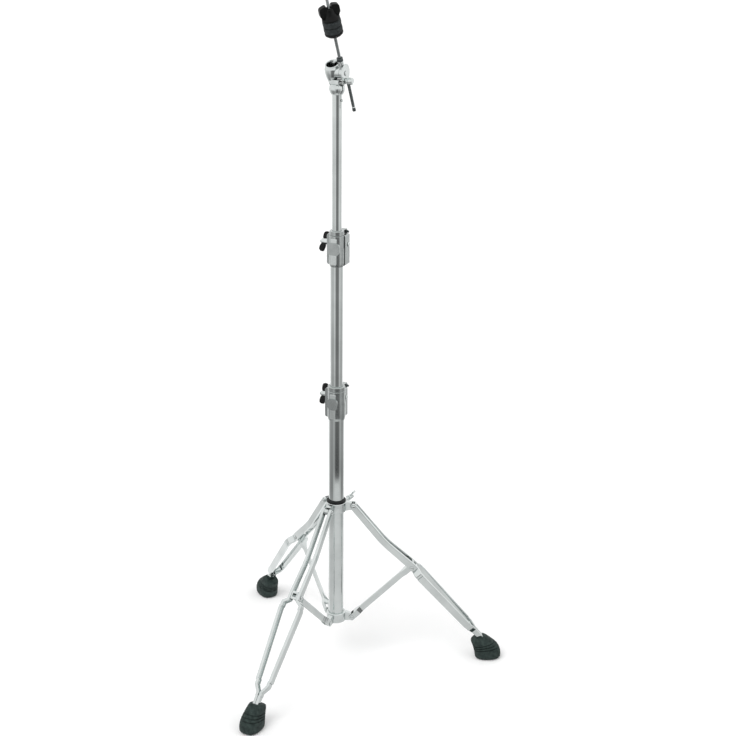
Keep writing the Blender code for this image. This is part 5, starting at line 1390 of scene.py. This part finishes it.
@dataclass
class RodAndSeat:
    """The cymbal rod with its lock nut, seat, sleeve, felts and wing nut.

    Attributes:
        pitch: Pitch of the rod's thread, drawn a little coarse so that it shows.
        thread_depth: Depth of the thread.
        felt_edge: Rounding of the felts' edges.
        felt_lump: Height of the felts' unevenness.
    """

    pitch: float = 1.25 * MM
    thread_depth: float = 0.5 * MM
    felt_edge: float = 2.2 * MM
    felt_lump: float = 0.35 * MM

    def build(self, shop: Workshop) -> None:
        """Make the rod and what is on it."""
        nut = shop.joint_axis("cymbal_nut_turn", UP)
        side = square_to(nut.along, Vector(shop.joints["rod_tilt"]["axis"]))
        axis = Axis(nut.origin, nut.along, side)
        self.rod(shop, axis)
        shop.broken_edges("rod_lock_nut", Slot.DARK_STEEL, 0.5, steps=3)
        shop.broken_edges("seat_cup", Slot.NYLON, 0.7, steps=3)
        shop.broken_edges("rod_sleeve", Slot.NYLON, 0.3)
        shop.broken_edges("cymbal_wing_nut", Slot.WING, 1.5, steps=4)
        for node in ("lower_felt", "upper_felt"):
            self.felt(shop, axis, node)

    def rod(self, shop: Workshop, axis: Axis) -> None:
        """Make the rod, threaded over its upper part, above the seat cup."""
        reach = axis.extent(shop.node("cymbal_rod"))
        radius = reach.outer
        thread = Thread(self.pitch, self.thread_depth, axis.extent(shop.node("seat_cup")).end, reach.end - 1 * MM,
                        radius)
        outline = [(0, reach.start), (radius, reach.start)]
        outline += [(radius, distance) for distance in thread.stations()]
        outline += [(radius - 0.7 * MM, reach.end), (0, reach.end)]
        piece = shop.turned("cymbal_rod_threaded", outline, axis, Slot.CHROME, "rod", ["cymbal_rod"], sides=32,
                            shape=thread.cut)
        shop.refinish(piece, ZINC_PLATED_ROD)

    def felt(self, shop: Workshop, axis: Axis, node: str) -> None:
        """Make one felt washer: soft edges, uneven faces, and a slight barrel from being squeezed.

        Args:
            shop: The workshop.
            axis: The rod's axis.
            node: The washer's CAD node.
        """
        reach = axis.extent(shop.node(node))
        low, high = reach.start + 0.1 * MM, reach.end - 0.1 * MM
        inner, outer = reach.inner + 0.1 * MM, reach.outer
        corners = rounded([(inner, high), (outer - 0.5 * MM, high), (outer, (low + high) / 2),
                           (outer - 0.5 * MM, low), (inner, low)], self.felt_edge, steps=6)
        outline = []
        for here, ahead in zip(corners, corners[1:]):
            steps = max(int((Vector(ahead) - Vector(here)).length / (0.9 * MM)), 1)
            outline += [tuple(Vector(here).lerp(Vector(ahead), k / steps)) for k in range(steps)]
        outline.append(corners[-1])
        piece = shop.turned(f"{node}_pressed", outline, axis, Slot.FELT, shop.bodies[node], [node], sides=96,
                            ring=True, crease=80.0)
        self.roughen(piece.data, axis, inner)

    def roughen(self, mesh: bpy.types.Mesh, axis: Axis, inner: float) -> None:
        """Push a felt's surface in by slow and fast noise, more at its rim than at its bore."""
        for vertex in mesh.vertices:
            offset = vertex.co - axis.origin
            radius = (offset - axis.along * offset.dot(axis.along)).length
            share = min(max((radius - inner) / (3 * MM), 0.0), 1.0)
            slow = noise.noise(vertex.co / (5 * MM))
            fast = noise.noise(vertex.co / (1.3 * MM))
            vertex.co -= vertex.normal * self.felt_lump * share * (0.6 + 0.4 * slow + 0.35 * fast)
        mesh.update()


class Tone(Enum):
    """Brightness of what the metal sees in each part of the studio, where 1 is the white backdrop."""

    SHEET = 0.76
    EDGE_FRONT = 0.08
    FRONT = 0.21
    STREAK = 0.77
    EDGE_SIDE = 0.28
    SIDE = 0.56
    FAR_SIDE = 0.96
    BACK = 1.0


@dataclass
class Studio:
    """Floor, lights and the camera at the photograph's view.

    Attributes:
        distance: Distance of the camera from the pole along the floor, in metres.
        orbit: Turn of the camera round the pole, in degrees.
        height: Height of the camera, in metres.
        pitch: Downward tilt, in degrees.
        yaw: Turn about the vertical, in degrees, before the orbit.
        roll: Roll about the view axis, in degrees.
        lens: Focal length for a 36 mm sensor.
        sheet_reach: Distance from the pole at which the lit sheet ends, in metres.
        wall_top: Height of the room's dim walls, in metres.
        room_turn: Turn of the room's dark side about the pole, in degrees.
        right_share: How much slower the room brightens to the right of its dark side than to the left.
    """

    distance: float = 2.9
    orbit: float = 0.49
    height: float = 1.7022
    pitch: float = 19.674
    yaw: float = -1.261
    roll: float = 0.54
    lens: float = 74.22
    sheet_reach: float = 0.965
    wall_top: float = 1.3
    room_turn: float = 8.0
    right_share: float = 0.75

    def build(self, shop: Workshop) -> None:
        """Set up the studio."""
        self.camera(shop)
        self.floor()
        self.reflected_room(shop)
        self.lamps()
        self.world()

    def camera(self, shop: Workshop) -> None:
        """Set the camera."""
        data = bpy.data.cameras.new("photo_camera")
        data.lens = self.lens
        data.sensor_width = 36.0
        data.clip_end = 60.0
        camera = bpy.data.objects.new("photo_camera", data)
        bpy.context.scene.collection.objects.link(camera)
        orbit = math.radians(self.orbit)
        camera.location = (shop.pole.origin.x + self.distance * math.sin(orbit),
                           shop.pole.origin.y - self.distance * math.cos(orbit), self.height)
        tilt = Euler((math.radians(90 - self.pitch), 0, math.radians(self.yaw + self.orbit)), "XYZ")
        camera.rotation_mode = "QUATERNION"
        camera.rotation_quaternion = (tilt.to_quaternion()
                                      @ Euler((0, 0, math.radians(self.roll))).to_quaternion())
        bpy.context.scene.camera = camera

    @staticmethod
    def plane(name: str, reach: float, height: float) -> bpy.types.Object:
        """A square stage sheet round the origin."""
        work = bmesh.new()
        bmesh.ops.create_grid(work, x_segments=4, y_segments=4, size=reach)
        mesh = bpy.data.meshes.new(name)
        work.to_mesh(mesh)
        work.free()
        sheet = bpy.data.objects.new(name, mesh)
        bpy.context.scene.collection.objects.link(sheet)
        sheet.location.z = height
        return sheet

    def floor(self) -> None:
        """Lay the pale paper floor."""
        floor = self.plane("studio_floor", 14.0, -0.0006)
        material = bpy.data.materials.new("white_paper_sweep")
        material.use_nodes = True
        tree = material.node_tree
        shader = tree.nodes["Principled BSDF"]
        place = add_node(tree, "ShaderNodeTexCoord").outputs["Object"]
        tooth = add_node(tree, "ShaderNodeTexNoise", {"Scale": 1 / (1.5 * MM)}, {"Vector": place}).outputs["Fac"]
        paper = ramp(tree, tooth, [(0.3, linear("#f6f6f6")), (0.7, linear("#fafafa"))])
        tree.links.new(paper, shader.inputs["Base Color"])
        shader.inputs["Roughness"].default_value = 0.95
        shader.inputs["Specular IOR Level"].default_value = 0.0
        rays = add_node(tree, "ShaderNodeLightPath")
        seen = add_node(tree, "ShaderNodeMath", {"operation": "MAXIMUM"},
                        {0: rays.outputs["Is Camera Ray"], 1: rays.outputs["Is Glossy Ray"]})
        lift = add_node(tree, "ShaderNodeMath", {"operation": "MULTIPLY", 1: 0.07}, {0: seen.outputs["Value"]})
        tree.links.new(lift.outputs["Value"], shader.inputs["Emission Strength"])
        floor.data.materials.append(material)

    def reflected_room(self, shop: Workshop) -> None:
        """Build what the metal sees of the studio: the lit sheet, and the dimmer floor and walls round it.

        It stands round the pole and only mirror-like rays meet it.
        """
        work = bmesh.new()
        rings = []
        for radius, height in ((0.02, 0.0), (1.0, 0.0), (3.0, 0.0), (9.0, 0.0), (9.0, 0.6), (9.0, self.wall_top)):
            rings.append([work.verts.new((radius * math.cos(math.radians(5 * i)),
                                          radius * math.sin(math.radians(5 * i)), height)) for i in range(72)])
        for low, high in zip(rings, rings[1:]):
            for i in range(72):
                j = (i + 1) % 72
                work.faces.new((low[i], low[j], high[j], high[i]))
        work.faces.new(list(reversed(rings[0])))
        mesh = bpy.data.meshes.new("studio_surround")
        work.to_mesh(mesh)
        work.free()
        room = bpy.data.objects.new("studio_surround", mesh)
        bpy.context.scene.collection.objects.link(room)
        room.location = (shop.pole.origin.x, shop.pole.origin.y, -0.0003)
        room.rotation_euler.z = math.radians(self.room_turn)
        room.visible_camera = False
        room.visible_diffuse = False
        room.visible_shadow = False
        room.visible_transmission = False
        mesh.materials.append(self.room_tone())

    def room_tone(self) -> bpy.types.Material:
        """The tones of the studio's floor and walls, by distance, direction and height.

        Returns:
            The new material.
        """
        material = bpy.data.materials.new("studio_surround_tone")
        material.use_nodes = True
        tree = material.node_tree
        tree.nodes.clear()
        place = add_node(tree, "ShaderNodeTexCoord").outputs["Object"]
        parts = add_node(tree, "ShaderNodeSeparateXYZ", links={"Vector": place})
        right = add_node(tree, "ShaderNodeMath", {"operation": "MULTIPLY", 1: self.right_share},
                         {0: parts.outputs["X"]})
        left = add_node(tree, "ShaderNodeMath", {"operation": "MULTIPLY", 1: -1.0}, {0: parts.outputs["X"]})
        across = add_node(tree, "ShaderNodeMath", {"operation": "MAXIMUM"},
                          {0: right.outputs["Value"], 1: left.outputs["Value"]})
        ahead = add_node(tree, "ShaderNodeMath", {"operation": "MULTIPLY", 1: -1.0}, {0: parts.outputs["Y"]})
        turn = add_node(tree, "ShaderNodeMath", {"operation": "ARCTAN2"},
                        {0: across.outputs["Value"], 1: ahead.outputs["Value"]})
        share = add_node(tree, "ShaderNodeMath", {"operation": "DIVIDE", 1: math.pi},
                         {0: turn.outputs["Value"]}).outputs["Value"]
        level = add_node(tree, "ShaderNodeCombineXYZ", links={"X": parts.outputs["X"], "Y": parts.outputs["Y"]})
        flat = add_node(tree, "ShaderNodeVectorMath", {"operation": "LENGTH"}, {0: level.outputs["Vector"]})
        far = add_node(tree, "ShaderNodeMapRange", {"From Min": 0.0, "From Max": 8.0},
                       {"Value": flat.outputs["Value"]})
        reach = self.sheet_reach / 8.0
        front = ramp(tree, far.outputs["Result"],
                     [(0.0, grey(Tone.SHEET.value)), (reach * 0.99, grey(Tone.SHEET.value)),
                      (reach * 1.02, grey(Tone.EDGE_FRONT.value)), (reach * 1.7, grey(Tone.FRONT.value)),
                      (1.0, grey(Tone.FRONT.value))])
        side = ramp(tree, far.outputs["Result"],
                    [(0.02, grey(Tone.SHEET.value * 0.95)), (reach * 0.62, grey(0.64)),
                     (reach * 0.95, grey(Tone.EDGE_SIDE.value)), (reach * 1.2, grey(Tone.EDGE_SIDE.value * 1.15)),
                     (reach * 2.7, grey(Tone.SIDE.value)), (1.0, grey(Tone.FAR_SIDE.value))])
        bright = ramp(tree, far.outputs["Result"],
                      [(0.0, grey(Tone.SHEET.value)), (reach * 0.9, grey(Tone.SHEET.value * 0.9)),
                       (reach * 1.1, grey(0.4)), (reach * 2.4, grey(Tone.STREAK.value)), (1.0, grey(0.92))])
        to_streak = ramp(tree, share, [(0.1, grey(0.0)), (0.22, grey(1.0))])
        to_side = ramp(tree, share, [(0.27, grey(0.0)), (0.34, grey(1.0))])
        to_back = ramp(tree, share, [(0.6, grey(0.0)), (0.82, grey(1.0))])
        first = add_node(tree, "ShaderNodeMix", {"data_type": "RGBA"}, {0: to_streak, 6: front, 7: bright})
        second = add_node(tree, "ShaderNodeMix", {"data_type": "RGBA"}, {0: to_side, 6: first.outputs[2], 7: side})
        rise = add_node(tree, "ShaderNodeMapRange", {"From Min": self.wall_top * 0.6, "From Max": self.wall_top},
                        {"Value": parts.outputs["Z"]})
        back = add_node(tree, "ShaderNodeMix", {"data_type": "RGBA", 7: grey(Tone.BACK.value)},
                        {0: to_back, 6: second.outputs[2]})
        third = add_node(tree, "ShaderNodeMix", {"data_type": "RGBA", 7: grey(1.0)},
                         {0: rise.outputs["Result"], 6: back.outputs[2]})
        glow = add_node(tree, "ShaderNodeEmission", {"Strength": 1.0}, {"Color": third.outputs[2]})
        add_node(tree, "ShaderNodeOutputMaterial", links={"Surface": glow.outputs["Emission"]})
        return material

    @staticmethod
    def lamps() -> None:
        """Hang a large soft key over the camera's left and a weaker fill over its right."""
        for name, place, strength, softness in (("key_light", (-1.6, -2.0, 3.0), 1.35, 40.0),
                                                ("fill_light", (2.2, -1.2, 2.2), 0.45, 50.0)):
            data = bpy.data.lights.new(name, "SUN")
            data.energy = strength
            data.angle = math.radians(softness)
            lamp = bpy.data.objects.new(name, data)
            bpy.context.scene.collection.objects.link(lamp)
            lamp.location = place
            lamp.rotation_euler = (-Vector(place)).to_track_quat("-Z", "Y").to_euler()
            lamp.visible_glossy = False

    @staticmethod
    def world() -> None:
        """Light the room evenly, with a white backdrop that the camera and the metal both see."""
        world = bpy.data.worlds.new("studio_world")
        world.use_nodes = True
        tree = world.node_tree
        tree.nodes.clear()
        rays = add_node(tree, "ShaderNodeLightPath")
        seen = add_node(tree, "ShaderNodeMath", {"operation": "MAXIMUM"},
                        {0: rays.outputs["Is Camera Ray"], 1: rays.outputs["Is Glossy Ray"]})
        clear = add_node(tree, "ShaderNodeMath", {"operation": "MAXIMUM"},
                         {0: seen.outputs["Value"], 1: rays.outputs["Is Transmission Ray"]})
        lit = add_node(tree, "ShaderNodeBackground", {"Color": grey(1.0), "Strength": 0.68})
        white = add_node(tree, "ShaderNodeBackground", {"Color": grey(1.0), "Strength": 1.0})
        mixed = add_node(tree, "ShaderNodeMixShader", links={0: clear.outputs["Value"],
                                                             1: lit.outputs["Background"],
                                                             2: white.outputs["Background"]})
        add_node(tree, "ShaderNodeOutputWorld", links={"Surface": mixed.outputs["Shader"]})
        bpy.context.scene.world = world


def main() -> None:
    """Build the looks."""
    logging.basicConfig(level=logging.INFO, format="%(message)s")
    random.seed(7)
    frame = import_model()
    bpy.context.scene.view_settings.view_transform = "Standard"
    shop = Workshop(frame)
    for entry in frame["record"]["subparts"]:
        for holder in frame["nodes"][entry["node"]].material_slots:
            holder.material = shop.materials[Slot(entry["material_slot"])]
    PoleTubes().build(shop)
    LegCollars().build(shop)
    for side in Side:
        Leg(side).build(shop)
    HeightClamp("lower_clamp", "lower_nut_turn").build(shop)
    HeightClamp("upper_clamp", "upper_nut_turn").build(shop)
    Tilter().build(shop)
    RodAndSeat().build(shop)
    shop.weigh_normals()
    Studio().build(shop)


if __name__ == "__main__":
    main()
